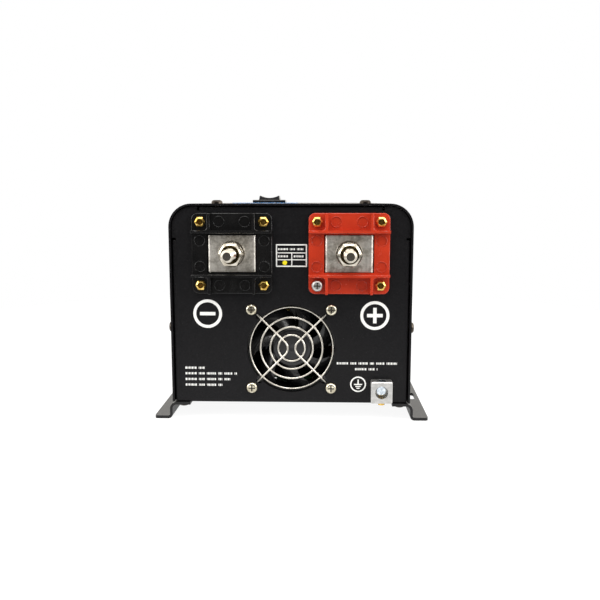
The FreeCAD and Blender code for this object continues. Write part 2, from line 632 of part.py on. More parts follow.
def case_screws(screw):
    """The screws of the cover and of the foot rails."""
    top, sides, feet = [], [], []
    for side in SIDES:
        top.append(("%d * cover_screw_x" % side, "-cover_screw_y", "case_top", UPRIGHT))
        for end in SIDES:
            for reach in ("foot_screw_end", "foot_screw_mid"):
                feet.append(("%d * foot_screw_x" % side, "%d * %s" % (end, reach),
                             "case_bottom - foot_wall", FACING_DOWN))
    for y, height in (("-cover_screw_y", "side_screw_z"), ("cover_screw_y", "side_screw_z"),
                      ("cover_screw_y", "upper_screw_z")):
        sides.append(("-case_width / 2", y, height, FACING_LEFT))
        sides.append(("case_width / 2", y, height, FACING_RIGHT))
    node("cover_top_screws", copies(screw, top))
    node("cover_side_screws", copies(screw, sides))
    node("foot_rail_screws", copies(screw, feet))


# ---------------------------------------------------------------- battery terminals

PANEL_FACE = "(case_length / 2 - panel_recess)"


def terminal_block(name, side):
    """A moulded block: ribbed face, four screw pockets and a hollow boss through the panel."""
    body = new_body(name + "_body")
    half = "block_size / 2"
    pad(body, rectangle(sketch_on(body, "XZ_Plane"), 0, 0, "block_size", "block_size"), "block_floor")
    edge = number(half)
    round_edges(body, "block_corner", lambda middle, edge_line: runs_along(edge_line, Y_AXIS)
                and abs(abs(middle.x) - edge) < NEAR)
    across = sketch_on(body, "XZ_Plane")
    for level in SIDES:
        rectangle(across, 0, "%d * rib_across_z" % level, "block_size", "rib_wall")
    pad(body, across, "rib_height")
    upright = sketch_on(body, "XZ_Plane")
    length = "(block_size / 2 - rib_across_z)"
    for left in SIDES:
        for level in SIDES:
            rectangle(upright, "%d * rib_upright_x" % left,
                      "%d * (rib_across_z + %s / 2)" % (level, length), "rib_wall", length)
    pad(body, upright, "rib_height")
    pad(body, rectangle(sketch_on(body, "XZ_Plane"), 0, 0, "boss_width", "boss_height"),
        "boss_depth", reverse=True)
    inner_x = number("rib_upright_x + rib_wall / 2")
    inner_z = number("rib_across_z + rib_wall / 2")
    round_edges(body, "pocket_round", lambda middle, edge_line: runs_along(edge_line, Y_AXIS)
                and abs(abs(middle.x) - inner_x) < NEAR and abs(abs(middle.z) - inner_z) < NEAR)
    pocket(body, rectangle(sketch_on(body, "XZ_Plane", "block_floor"), 0, 0, "well_width",
                           "well_height"), "block_floor + boss_depth")
    holes = sketch_on(body, "XZ_Plane", "block_floor")
    for left in SIDES:
        for level in SIDES:
            circle(holes, "%d * insert_spacing / 2" % left, "%d * insert_spacing / 2" % level,
                   "insert_hole")
    pocket(body, holes, "block_floor")
    marks = sketch_on(body, "XZ_Plane", "block_floor")
    for far in SIDES:
        for near in SIDES:
            circle(marks, "%d * mark_near" % near, "%d * mark_far" % far, "mark_radius")
            circle(marks, "%d * mark_side" % far, "%d * mark_near" % near, "mark_radius")
    pocket(body, marks, "mark_depth")
    return node(name, place(body, "%d * terminal_x" % side, "-" + PANEL_FACE, "terminal_z"))


def contact_plate(name, side):
    """The plated copper bar in the block's well, with rounded front edges."""
    body = new_body(name + "_body")
    pad(body, rectangle(sketch_on(body, "XZ_Plane", "plate_proud"), 0, 0, "plate_width",
                        "plate_height"), "plate_depth", reverse=True)
    edge = number("plate_width / 2")
    front = -number("plate_proud")
    round_edges(body, "plate_edge", lambda middle, edge_line: runs_along(edge_line, Z_AXIS)
                and abs(abs(middle.x) - edge) < NEAR and abs(middle.y - front) < NEAR)
    pocket(body, circle(sketch_on(body, "XZ_Plane", "plate_proud"), 0, 0, "stud_hole"))
    return node(name, place(body, "%d * terminal_x" % side, "-" + PANEL_FACE, "terminal_z"))


def stud(name, side):
    """A hexagon-head stud pushed through from inside, with a chamfered tip."""
    seat = "(plate_proud - plate_depth - strap_wall)"
    root = seat + " - fuse_overlap"
    clear = "(plate_proud + washer_height + lock_height + nut_height + stud_relief)"
    shaft = turned(name + "_shaft", [
        (0, root), ("stud_shank", root), ("stud_shank", clear), ("stud_radius", clear),
        ("stud_radius", "stud_proud - stud_chamfer"), ("stud_tip", "stud_proud"), (0, "stud_proud")])
    head = hexagon("head_flats", "head_height", 0, 0, "%s - head_height" % seat)
    whole = fuse(shaft, head)
    return node(name, place(whole, "%d * terminal_x" % side, "-" + PANEL_FACE, "terminal_z",
                            FACING_FRONT))


def stud_hardware():
    """The flat washer, spring washer and nut of both studs."""
    washer = turned("washer_master", [("stud_hole", 0), ("washer_radius", 0),
                                      ("washer_radius", "washer_height"), ("stud_hole", "washer_height")])
    lock = cut(turned("lock_master", [("stud_hole", 0), ("lock_radius", 0),
                                      ("lock_radius", "lock_height"), ("stud_hole", "lock_height")]),
               box(0, "-lock_slit / 2", "-lock_slit", "lock_radius + lock_slit", "lock_slit",
                   "lock_height + 2 * lock_slit"))
    nut = chamfered_nut("nut_flats", "nut_height", "nut_bore", "nut_chamfer")
    level = "plate_proud"
    for name, master, height in (("stud_flat_washers", washer, "washer_height"),
                                 ("stud_spring_washers", lock, "lock_height"),
                                 ("stud_nuts", nut, "nut_height")):
        places = [("%d * terminal_x" % side, "-%s - (%s)" % (PANEL_FACE, level), "terminal_z",
                   FACING_FRONT) for side in SIDES]
        node(name, copies(master, places))
        level += " + " + height


def terminal_inserts():
    """Brass threaded bushes that hold the terminal covers, eight in all."""
    blind = "block_floor - insert_depth"
    barrel = turned("insert_barrel_body", [
        ("insert_bore", blind + " + insert_floor"), ("insert_bore", "block_floor + insert_proud"),
        ("insert_barrel", "block_floor + insert_proud"), ("insert_barrel", blind), (0, blind),
        (0, blind + " + insert_floor")])
    collar = cut(hexagon("insert_flats", "insert_proud", 0, 0, "block_floor"),
                 cylinder("insert_bore", "2 * insert_proud", 0, 0, "block_floor - 0.5 * insert_proud"))
    insert = fuse(barrel, collar)
    places = []
    for side in SIDES:
        for left in SIDES:
            for level in SIDES:
                places.append(("%d * terminal_x + %d * insert_spacing / 2" % (side, left),
                               "-" + PANEL_FACE, "terminal_z + %d * insert_spacing / 2" % level,
                               FACING_FRONT))
    return node("terminal_inserts", copies(insert, places))


def terminal_screw():
    """The one cover screw kept in the lower left bush of the positive block."""
    body = turned("terminal_screw_body", [
        (0, "-terminal_screw_shank"), ("insert_bore - thread_gap", "-terminal_screw_shank"),
        ("insert_bore - thread_gap", 0), ("pan_head_radius", 0), ("pan_head_radius", "pan_head_height"),
        (0, "pan_head_height")])
    round_rim(body, "pan_head_round", "pan_head_height")
    for width, height in (("2 * recess_arm", "recess_width"), ("recess_width", "2 * recess_arm")):
        pocket(body, rectangle(sketch_on(body, "XY_Plane", "pan_head_height"), 0, 0, width, height),
               "recess_depth")
    return node("terminal_screw", place(
        body, "terminal_x - insert_spacing / 2", "-%s - block_floor - insert_proud" % PANEL_FACE,
        "terminal_z - insert_spacing / 2", FACING_FRONT))


def bus_strap(name, side):
    """The copper strap from a contact plate back and down to the power board."""
    centre = "%d * terminal_x" % side
    left = centre + " - strap_width / 2"
    back = "-%s - plate_proud + plate_depth" % PANEL_FACE
    low = "terminal_z - strap_width / 2"
    seat = "board_bottom + board_wall + board_seat"
    upright = cut(box(left, back, low, "strap_width", "strap_wall", "strap_width"),
                  cylinder("stud_hole", "3 * strap_wall", centre, back + " - strap_wall", "terminal_z",
                           FACING_BACK))
    run = box(left, back, low, "strap_width", "-strap_run - (%s)" % back, "strap_wall")
    drop = box(left, "-strap_run - strap_wall", seat, "strap_width", "strap_wall",
               "%s + strap_wall - (%s)" % (low, seat))
    foot = box(left, "-strap_run - strap_wall", seat, "strap_width", "strap_foot", "strap_wall")
    return node(name, fuse(upright, run, drop, foot))


# ---------------------------------------------------------------- fans

def fan_places():
    """Name, centre and turn of each fan: local -Y looks out of the case."""
    return (("front", "fan_x", "-" + PANEL_FACE, UPRIGHT),
            ("rear", "rear_fan_x", PANEL_FACE, TURNED_ROUND))


def fan_housing(name, x, y, rotation):
    """A square axial fan frame with a spider that carries the motor."""
    body = new_body(name + "_body")
    front = "-fan_rest"
    pad(body, rectangle(sketch_on(body, "XZ_Plane", front), 0, 0, "fan_size", "fan_size"),
        "fan_depth", reverse=True)
    edge = number("fan_size / 2")
    round_edges(body, "fan_corner", lambda middle, line: runs_along(line, Y_AXIS)
                and abs(abs(middle.x) - edge) < NEAR)
    pocket(body, circle(sketch_on(body, "XZ_Plane", front), 0, 0, "fan_bore"))
    back = "-fan_rest - fan_depth + spider_wall"
    bar_length = "2 * fan_bore + spider_root"
    for width, height in ((bar_length, "spider_width"), ("spider_width", bar_length)):
        pad(body, rectangle(sketch_on(body, "XZ_Plane", back), 0, 0, width, height), "spider_wall",
            reverse=True)
    pad(body, circle(sketch_on(body, "XZ_Plane", back), 0, 0, "motor_radius"), "spider_wall",
        reverse=True)
    holes = circle(sketch_on(body, "XZ_Plane", front), 0, 0, "axle_hole")
    for side in SIDES:
        for level in SIDES:
            circle(holes, "%d * fan_hole_half" % side, "%d * fan_hole_half" % level, "screw_hole")
    pocket(body, holes)
    return node(name, place(body, x, y, "fan_z", rotation))


def fan_rotor(name, x, y, rotation):
    """The hub with its axle and pitched blades."""
    rest = "fan_rest"
    hub = turned(name + "_hub", [
        (0, "-(%s) - axle_length" % rest), ("axle_radius", "-(%s) - axle_length" % rest),
        ("axle_radius", "-(%s) - hub_front - hub_depth" % rest),
        ("hub_radius", "-(%s) - hub_front - hub_depth" % rest),
        ("hub_radius", "-(%s) - hub_front" % rest), (0, "-(%s) - hub_front" % rest)])
    round_rim(hub, "hub_round", "-fan_rest - hub_front")
    blades = []
    count = int(number("blade_count"))
    for index in range(count):
        blade = doc.addObject("Part::Box", "Blade")
        bind(blade, "Length", "blade_reach - hub_radius + blade_root + blade_over")
        bind(blade, "Width", "blade_wall")
        bind(blade, "Height", "blade_chord")
        pitch = FreeCAD.Placement(FreeCAD.Vector(), FreeCAD.Rotation(X_AXIS, number("blade_pitch")))
        centre = FreeCAD.Placement(FreeCAD.Vector(number("hub_radius - blade_root"),
                                                  -number("blade_wall / 2"),
                                                  -number("blade_chord / 2")), UPRIGHT)
        level = FreeCAD.Vector(0, 0, -number("fan_rest + hub_front + hub_depth / 2"))
        spin = FreeCAD.Placement(level, FreeCAD.Rotation(Z_AXIS, 360 * index / count))
        blade.Placement = spin.multiply(pitch).multiply(centre)
        blades.append(blade)
    inner = "hub_radius - hub_round"
    low = "-(%s) - hub_front - hub_depth + blade_inset" % rest
    high = "-(%s) - hub_front - hub_round - blade_inset" % rest
    sleeve = turned(name + "_sleeve", [(inner, low), ("blade_reach", low), ("blade_reach", high),
                                       (inner, high)])
    whole = fuse(hub, common(fuse(*blades), sleeve))
    turn = rotation.multiply(FACING_FRONT)
    return node(name, place(whole, x, y, "fan_z", turn))


def fan_guard(name, x, y, rotation):
    """Four wire rings welded to two bent spokes that end in screw eyes."""
    level = "-sheet_wall - guard_setback"
    pieces = []
    for radius in ("guard_ring_a", "guard_ring_b", "guard_ring_c", "guard_ring_d"):
        pieces.append(ring(radius, "guard_wire", 0, 0, level + " - guard_ring_back"))
    reach = "(fan_hole_half - guard_eye * sin(45) - guard_bend * sin(45)) / sin(45)"
    for side in SIDES:
        turn = FreeCAD.Rotation(Z_AXIS, -45 if side < 0 else 135)
        pieces.append(ring("guard_bend", "guard_wire", "%d * guard_bend / sin(45)" % side, 0, level,
                           turn, 90))
        for up in SIDES:
            axis = FreeCAD.Vector(side, up, 0)
            along = FreeCAD.Rotation(Z_AXIS, axis)
            pieces.append(cylinder("guard_wire", reach, "%d * guard_bend * sin(45)" % side,
                                   "%d * guard_bend * sin(45)" % up, level, along))
            pieces.append(ring("guard_eye", "guard_wire", "%d * fan_hole_half" % side,
                               "%d * fan_hole_half" % up, level))
    return node(name, place(fuse(*pieces), x, y, "fan_z", rotation.multiply(FACING_FRONT)))


def fan_fasteners():
    """Long screws through panel, guard and frame, with their nuts."""
    screw = pan_screw("fan_shank")
    nut = chamfered_nut("fan_nut_flats", "fan_nut_height", "screw_shank + thread_gap",
                        "fan_nut_chamfer")
    screws, nuts = [], []
    for _, x, y, rotation in fan_places():
        outwards = -1 if rotation is UPRIGHT else 1
        turn = rotation.multiply(FACING_FRONT)
        for side in SIDES:
            for level in SIDES:
                across = "%s + %d * fan_hole_half" % (x, side)
                height = "fan_z + %d * fan_hole_half" % level
                screws.append((across, y, height, turn))
                nuts.append((across, "%s - %d * (fan_rest + fan_depth + fan_nut_height)" % (y, outwards),
                             height, turn))
    node("fan_screws", copies(screw, screws))
    node("fan_nuts", copies(nut, nuts))


# ---------------------------------------------------------------- ground lug

def ground_lug():
    """The plated lug block with its wire bore, clamp hole, fixing hole and bush hole."""
    body = new_body("ground_lug_body")
    middle_z = "lug_bottom + lug_height / 2"
    pad(body, rectangle(sketch_on(body, "XZ_Plane"), 0, middle_z, "lug_width", "lug_height"),
        "lug_depth")
    round_edges(body, "lug_edge", lambda middle, edge: abs(middle.y) > NEAR, "Chamfer")
    pocket(body, circle(sketch_on(body, "XZ_Plane", "lug_depth"), 0, "lug_z", "lug_bore"),
           "lug_depth - lug_back")
    pocket(body, circle(sketch_on(body, "XZ_Plane", "lug_depth"), 0, "lug_z", "lug_fixing_hole"))
    above = circle(sketch_on(body, "XY_Plane", "lug_bottom + lug_height"), 0, "-lug_clamp_y",
                   "clamp_hole")
    pocket(body, above, "lug_height / 2")
    below = circle(sketch_on(body, "XY_Plane", "lug_bottom"), 0, "-lug_clamp_y", "bush_hole")
    pocket(body, below, "bush_height", reverse=True)
    return node("ground_lug", place(body, "lug_x", "-" + PANEL_FACE))


def ground_screws():
    """The clamp plug in the top, the slotted fixing screw and the brass bush."""
    middle_y = "-%s - lug_clamp_y" % PANEL_FACE
    clamp = turned("clamp_body", [(0, "-clamp_length"), ("clamp_radius", "-clamp_length"),
                                  ("clamp_radius", 0), (0, 0)])
    for width, height in (("2 * recess_arm", "recess_width"), ("recess_width", "2 * recess_arm")):
        pocket(clamp, rectangle(sketch_on(clamp, "XY_Plane"), 0, 0, width, height), "recess_depth")
    node("ground_clamp_screw", place(clamp, "lug_x", middle_y, "lug_bottom + lug_height"))
    fixing = turned("fixing_body", [
        (0, "-fixing_length"), ("lug_fixing_hole - 2 * thread_gap", "-fixing_length"),
        ("lug_fixing_hole - 2 * thread_gap", 0), ("fixing_head", 0), ("fixing_head", "fixing_head_height"),
        (0, "fixing_head_height")])
    round_rim(fixing, "lug_edge", "fixing_head_height")
    pocket(fixing, rectangle(sketch_on(fixing, "XY_Plane", "fixing_head_height"), 0, 0, "slot_width",
                             "3 * fixing_head"), "fixing_head_height / 2")
    node("ground_fixing_screw", place(fixing, "lug_x", "-%s - lug_back" % PANEL_FACE, "lug_z",
                                      FACING_FRONT))
    bush = turned("bush_body", [(0, 0), ("bush_radius", 0), ("bush_radius", "bush_height"),
                                (0, "bush_height")])
    node("ground_lug_bush", place(bush, "lug_x", middle_y, "lug_bottom - bush_drop"))


# ---------------------------------------------------------------- control overlay and switch

def control_overlay():
    """The thin printed overlay on the cover, with windows for the switch and lamps."""
    body = new_body("control_overlay_body")
    pad(body, rectangle(sketch_on(body, "XY_Plane"), "overlay_x", "overlay_y", "overlay_width",
                        "overlay_length"), "overlay_wall")
    round_edges(body, "overlay_corner", lambda middle, edge: runs_along(edge, Z_AXIS))
    windows = sketch_on(body, "XY_Plane", "overlay_wall")
    rectangle(windows, "switch_x", "switch_y", "switch_body_width + 2 * boss_clearance",
              "switch_body_length + 2 * boss_clearance")
    for step in (-1, 0, 1):
        circle(windows, "overlay_x + %d * light_spacing" % step, "light_y", "light_hole")
    pocket(body, windows)
    return node("control_overlay", place(body, z="case_top"))


def status_lights():
    """Three lamp domes that look through the overlay."""
    lamp = turned("lamp_master", [(0, "-light_depth"), ("light_radius", "-light_depth"),
                                  ("light_radius", "light_lift"), (0, "light_lift")])
    round_rim(lamp, "light_lift", "light_lift")
    places = [("overlay_x + %d * light_spacing" % step, "light_y", "case_top", UPRIGHT)
              for step in (-1, 0, 1)]
    return node("status_lights", copies(lamp, places))


def power_switch():
    """The switch housing with its bezel, and the dished three-position rocker."""
    body = new_body("switch_body")
    bezel = rectangle(sketch_on(body, "XY_Plane"), 0, 0, "bezel_width", "bezel_length")
    pad(body, bezel, "bezel_height")
    top = number("bezel_height")
    round_edges(body, "bezel_edge", lambda middle, edge: abs(middle.z - top) < NEAR)
    lower = rectangle(sketch_on(body, "XY_Plane"), 0, 0, "switch_body_width", "switch_body_length")
    pad(body, lower, "switch_body_depth", reverse=True)
    mouth = rectangle(sketch_on(body, "XY_Plane", "bezel_height"), 0, 0, "switch_mouth_width",
                      "switch_mouth_length")
    pocket(body, mouth, "bezel_height + switch_body_depth - switch_floor")
    pivot = "rocker_pivot_lift - overlay_wall"
    pins = circle(sketch_on(body, "XZ_Plane"), 0, pivot, "pin_hole")
    pocket(body, pins, "pin_pocket", centred=True)
    node("power_switch_housing", place(body, "switch_x", "switch_y", "case_top + overlay_wall"))

    rocker = new_body("rocker_body")
    top, waist, half = "rocker_top", "rocker_waist", "rocker_half"
    shoulder = "bezel_height - rocker_lip"
    outline = [("-" + half, top), ("-" + waist, shoulder), ("-" + waist, "-rocker_skirt"),
               ("-rocker_foot", "-rocker_drop"), ("rocker_foot", "-rocker_drop"),
               (waist, "-rocker_skirt"), (waist, shoulder), (half, top)]
    pad(rocker, polygon(sketch_on(rocker, "XZ_Plane"), outline), "rocker_length", centred=True)
    dish = circle(sketch_on(rocker, "XZ_Plane"), 0, "rocker_top - rocker_sag + rocker_dish",
                  "rocker_dish")
    pocket(rocker, dish, "2 * rocker_length", centred=True)
    pad(rocker, circle(sketch_on(rocker, "XZ_Plane"), 0, 0, "pin_radius"), "pin_span", centred=True)
    node("power_switch_rocker", place(rocker, "switch_x", "switch_y", "case_top + rocker_pivot_lift"))


# ---------------------------------------------------------------- mains end

def at_mains_end(item, x, z, turn=TURNED_ROUND):
    """Place an item whose local -Y looks out on the outside face of the mains panel."""
    return place(item, x, PANEL_FACE, z, turn)


def outlet():
    """A duplex mains outlet with a test and a reset button."""
    body = new_body("outlet_body")
    pad(body, rectangle(sketch_on(body, "XZ_Plane"), 0, 0, "outlet_width", "outlet_height"),
        "outlet_proud")
    front = -number("outlet_proud")
    round_edges(body, "outlet_edge", lambda middle, edge: abs(middle.y - front) < NEAR)
    pad(body, rectangle(sketch_on(body, "XZ_Plane"), 0, 0, "outlet_body_width",
                        "outlet_body_height"), "outlet_body_depth", reverse=True)
    slots = sketch_on(body, "XZ_Plane", "outlet_proud")
    for level in SIDES:
        height = "%d * outlet_socket_z" % level
        for side in SIDES:
            rectangle(slots, "%d * blade_slot_x" % side, height + " + slot_shift", "blade_slot_width",
                      "blade_slot_height")
        circle(slots, 0, height + " + slot_shift - earth_hole_drop", "earth_hole_radius")
    pocket(body, slots, "socket_depth")
    wells = sketch_on(body, "XZ_Plane", "outlet_proud")
    for level in SIDES:
        rectangle(wells, 0, "%d * button_z" % level, "button_width + 2 * button_gap",
                  "button_height + 2 * button_gap")
    pocket(body, wells, "button_pocket")
    node("outlet", at_mains_end(body, "outlet_x", "outlet_z"))
    for name, level in (("outlet_reset_button", 1), ("outlet_test_button", -1)):
        button = new_body(name + "_body")
        pad(button, rectangle(sketch_on(button, "XZ_Plane", "outlet_proud + button_proud"), 0, 0,
                              "button_width", "button_height"), "button_depth", reverse=True)
        face = -number("outlet_proud + button_proud")
        round_edges(button, "button_gap", lambda middle, edge: abs(middle.y - face) < NEAR)
        node(name, at_mains_end(button, "outlet_x", "outlet_z + %d * button_z" % level))


def breaker(name, height):
    """A push-to-reset breaker: threaded barrel, ring nut, body and plunger."""
    shell = fuse(
        turned(name + "_barrel", [
            ("breaker_bore", "-breaker_body_depth + breaker_bore_depth"),
            ("breaker_barrel", "-breaker_body_depth + breaker_bore_depth"), ("breaker_barrel", 0),
            ("breaker_ring", 0), ("breaker_ring", "breaker_ring_height"),
            ("breaker_bore", "breaker_ring_height")]),
        cut(box("-breaker_body_width / 2", "-breaker_body_height / 2", "-sheet_wall - breaker_body_depth",
                "breaker_body_width", "breaker_body_height", "breaker_body_depth"),
            cylinder("breaker_bore", "breaker_body_depth", 0, 0, "-breaker_bore_depth")))
    node(name, at_mains_end(shell, "breaker_x", height, FACING_BACK))
    top = "breaker_ring_height + plunger_proud"
    plunger = turned(name + "_plunger", [
        (0, "%s - plunger_length" % top), ("plunger_radius", "%s - plunger_length" % top),
        ("plunger_radius", top), (0, top)])
    round_rim(plunger, "plunger_round", top)
    node(name + "_button", at_mains_end(plunger, "breaker_x", height, FACING_BACK))


def battery_selector():
    """The rotary selector behind the panel and its grip knob."""
    switch = turned("selector_body_turned", [
        (0, "-sheet_wall - selector_body_depth"), ("selector_body", "-sheet_wall - selector_body_depth"),
        ("selector_body", "-sheet_wall"), ("selector_bush", "-sheet_wall"), ("selector_bush", 0),
        ("selector_shaft", 0), ("selector_shaft", "selector_shaft_reach"),
        (0, "selector_shaft_reach")])
    node("battery_selector_switch", at_mains_end(switch, "knob_x", "knob_z", FACING_BACK))
    low, skirt = "knob_lift", "knob_lift + knob_skirt"
    dish = turned("knob_turned", [
        ("knob_bore", low), ("knob_radius", low), ("knob_radius", skirt),
        ("knob_radius - knob_skirt", "knob_lift + 2 * knob_skirt"), (0, "knob_lift + 2 * knob_skirt"),
        (0, "knob_lift + knob_bore_depth / 2"), ("knob_bore", "knob_lift + knob_bore_depth / 2")])
    grip = common(box("-grip_width / 2", "-knob_radius", "knob_lift + knob_skirt / 2", "grip_width",
                      "2 * knob_radius", "knob_height - knob_skirt / 2"),
                  cylinder("knob_radius - knob_edge", "knob_height", 0, 0, low))
    bore = cylinder("knob_bore", "knob_bore_depth + knob_lift")
    node("battery_selector_knob",
         at_mains_end(cut(fuse(dish, grip), bore), "knob_x", "knob_z", FACING_BACK))


def remote_port():
    """A modular jack for the remote panel."""
    body = new_body("remote_port_body")
    pad(body, rectangle(sketch_on(body, "XZ_Plane"), 0, 0, "port_width + 2 * port_flange",
                        "port_height + 2 * port_flange"), "port_flange_wall")
    pad(body, rectangle(sketch_on(body, "XZ_Plane"), 0, 0, "port_width", "port_height"),
        "port_depth", reverse=True)
    pocket(body, rectangle(sketch_on(body, "XZ_Plane", "port_flange_wall"), 0, 0,
                           "port_mouth_width", "port_mouth_height"), "port_mouth_depth")
    key = rectangle(sketch_on(body, "XZ_Plane", "port_flange_wall"), 0,
                    "-(port_mouth_height + port_key_height) / 2 + port_key_lap", "port_key_width",
                    "port_key_height + 2 * port_key_lap")
    pocket(body, key, "port_mouth_depth")
    return node("remote_port", at_mains_end(body, "port_x", "port_z"))


def cable_gland(name, x):
    """A cable gland: hexagon body, dome nut, threaded barrel and lock nut."""
    dome = turned(name + "_dome", [
        ("gland_bore", "-gland_inner"), ("gland_thread", "-gland_inner"), ("gland_thread", 0),
        ("gland_dome", 0), ("gland_dome", "gland_hex_height + gland_dome_height"),
        ("gland_bore", "gland_hex_height + gland_dome_height")])
    top = number("gland_hex_height + gland_dome_height")
    outer = number("gland_dome")
    round_edges(dome, "gland_dome_round", lambda middle, edge: abs(middle.z - top) < NEAR
                and edge.Curve.TypeId == "Part::GeomCircle" and abs(edge.Curve.Radius - outer) < NEAR)
    nut = "-sheet_wall - gland_nut_height"
    collar = cut(fuse(hexagon("gland_flats", "gland_hex_height"),
                      hexagon("gland_nut_flats", "gland_nut_height", 0, 0, nut)),
                 cylinder("gland_bore", "3 * gland_inner", 0, 0, "-gland_inner"))
    node(name, at_mains_end(fuse(dome, collar), x, "gland_z", FACING_BACK))


# ---------------------------------------------------------------- inside

def transformer():
    """The wound toroid, its rubber pads, the dished clamp and the bolt."""
    coil = turned("coil_body", [("coil_inner", "coil_bottom"), ("coil_outer", "coil_bottom"),
                                ("coil_outer", "coil_top"), ("coil_inner", "coil_top")])
    round_edges(coil, "coil_round", lambda middle, edge: edge.Curve.TypeId == "Part::GeomCircle"
                and edge.BoundBox.ZLength < NEAR)
    node("toroid_transformer", place(coil, 0, "coil_y"))
    pad_disc = turned("pad_master", [("clamp_bolt_hole", 0), ("pad_outer", 0),
                                     ("pad_outer", "pad_height"), ("clamp_bolt_hole", "pad_height")])
    node("transformer_pads", copies(pad_disc, [
        (0, "coil_y", "case_bottom + sheet_wall + 2 * pad_gap", UPRIGHT),
        (0, "coil_y", "coil_top + pad_gap", UPRIGHT)]))
    seat = "coil_top + pad_height + 2 * pad_gap"
    disc = turned("clamp_disc_body", [
        ("clamp_bolt_hole", seat), ("clamp_disc", seat), ("clamp_disc", seat + " + clamp_wall"),
        ("clamp_bolt_hole", seat + " + clamp_wall")])
    node("transformer_clamp", place(disc, 0, "coil_y"))
    top = seat + " + clamp_wall"
    head = hexagon("2 * clamp_bolt_head", "clamp_bolt_head_height", 0, 0, top)
    low = "case_bottom - clamp_bolt_head_height"
    foot = hexagon("2 * clamp_bolt_head", "clamp_bolt_head_height", 0, 0, low)
    shaft = cylinder("clamp_bolt", "%s - case_bottom + 2 * clamp_bolt_root" % top, 0, 0,
                     "case_bottom - clamp_bolt_root")
    node("transformer_bolt", place(fuse(shaft, head, foot), 0, "coil_y"))


def boards():
    """The power board, the control board and their spacers."""
    middle = "board_front + board_length / 2"
    board = new_body("power_board_body")
    pad(board, rectangle(sketch_on(board, "XY_Plane", "board_bottom"), 0, middle,
                         "2 * board_half_width", "board_length"), "board_wall")
    node("power_board", board)
    control = new_body("control_board_body")
    pad(control, rectangle(sketch_on(control, "XY_Plane", "control_board_bottom"), 0,
                           "control_board_front + control_board_length / 2",
                           "2 * control_board_half", "control_board_length"), "board_wall")
    node("control_board", control)
    spacers = []
    floor = "case_bottom + sheet_wall"
    for side in SIDES:
        for end in ("board_front + spacer_end", "board_front + board_length - spacer_end"):
            spacers.append(cylinder("spacer_radius", "board_bottom - (%s)" % floor,
                                    "%d * spacer_x" % side, end, floor))
        shelf = "board_bottom + board_wall + sink_height + board_seat"
        for end in ("control_board_front + spacer_end",
                    "control_board_front + control_board_length - spacer_end"):
            spacers.append(cylinder("spacer_radius", "control_board_bottom - (%s)" % shelf,
                                    "%d * control_spacer_x" % side, end, shelf))
    node("board_spacers", group(spacers))


def heat_sinks():
    """Two finned extrusions that stand along the sides of the power board."""
    low = "board_bottom + board_wall + board_seat"
    body = new_body("heat_sink_body")
    count = int(number("sink_fins"))
    step = "((sink_height - sink_fin) / (sink_fins - 1))"
    outline = [("sink_inner", low)]
    for index in range(count):
        under = "%s + %d * %s" % (low, index, step)
        over = under + " + sink_fin"
        if index:
            outline.append(("sink_inner + sink_wall", under))
        outline += [("sink_inner + sink_reach", under), ("sink_inner + sink_reach", over)]
        if index < count - 1:
            outline.append(("sink_inner + sink_wall", over))
    outline.append(("sink_inner", low + " + sink_height"))
    sketch = polygon(sketch_on(body, "XZ_Plane", "-sink_front"), outline)
    pad(body, sketch, "sink_length", reverse=True)
    middle = "2 * sink_front + sink_length"
    node("heat_sinks", copies(body, [(0, 0, 0, UPRIGHT), (0, middle, 0, TURNED_ROUND)]))


def power_parts():
    """The transistors along the heat sinks and the reservoir capacitors."""
    low = "board_bottom + board_wall"
    transistors = []
    for side in SIDES:
        inner = "sink_inner - transistor_wall" if side > 0 else "-sink_inner"
        for index in range(int(number("transistor_count"))):
            front = "transistor_front + %d * transistor_pitch" % index
            transistors.append(box(inner, front, low + " + transistor_lift", "transistor_wall",
                                   "transistor_width", "transistor_height"))
    node("power_transistors", group(transistors))
    can = turned("can_master", [(0, 0), ("capacitor_radius", 0), ("capacitor_radius", "capacitor_height"),
                                (0, "capacitor_height")])
    round_rim(can, "capacitor_round", "capacitor_height")
    places = []
    for across in (-1, 0, 1):
        for row in (0, 1, 2):
            places.append(("%d * capacitor_pitch_x" % across,
                           "capacitor_front + %d * capacitor_pitch_y" % row,
                           low + " + board_seat", UPRIGHT))
    node("capacitors", copies(can, places))


# ---------------------------------------------------------------- assembly

def build():
    base_pan()
    top_cover()
    dc_end_panel()
    ac_end_panel()
    foot_rail("left_foot_rail", TURNED_ROUND)
    foot_rail("right_foot_rail", UPRIGHT)
    case_screws(pan_screw("short_shank"))
    for name, side in (("negative", -1), ("positive", 1)):
        terminal_block(name + "_terminal_block", side)
        contact_plate(name + "_contact_plate", side)
        stud(name + "_stud", side)
        bus_strap(name + "_bus_strap", side)
    stud_hardware()
    terminal_inserts()
    terminal_screw()
    for name, x, y, rotation in fan_places():
        fan_housing(name + "_fan_housing", x, y, rotation)
        fan_rotor(name + "_fan_rotor", x, y, rotation)
        fan_guard(name + "_fan_guard", x, y, rotation)
    fan_fasteners()
    ground_lug()
    ground_screws()
    control_overlay()
    status_lights()
    power_switch()
    outlet()
    breaker("input_breaker", "input_breaker_z")
    breaker("output_breaker", "output_breaker_z")
    battery_selector()
    remote_port()
    cable_gland("input_cable_gland", "gland_near_x")
    cable_gland("output_cable_gland", "gland_far_x")
    transformer()
    boards()
    heat_sinks()
    power_parts()


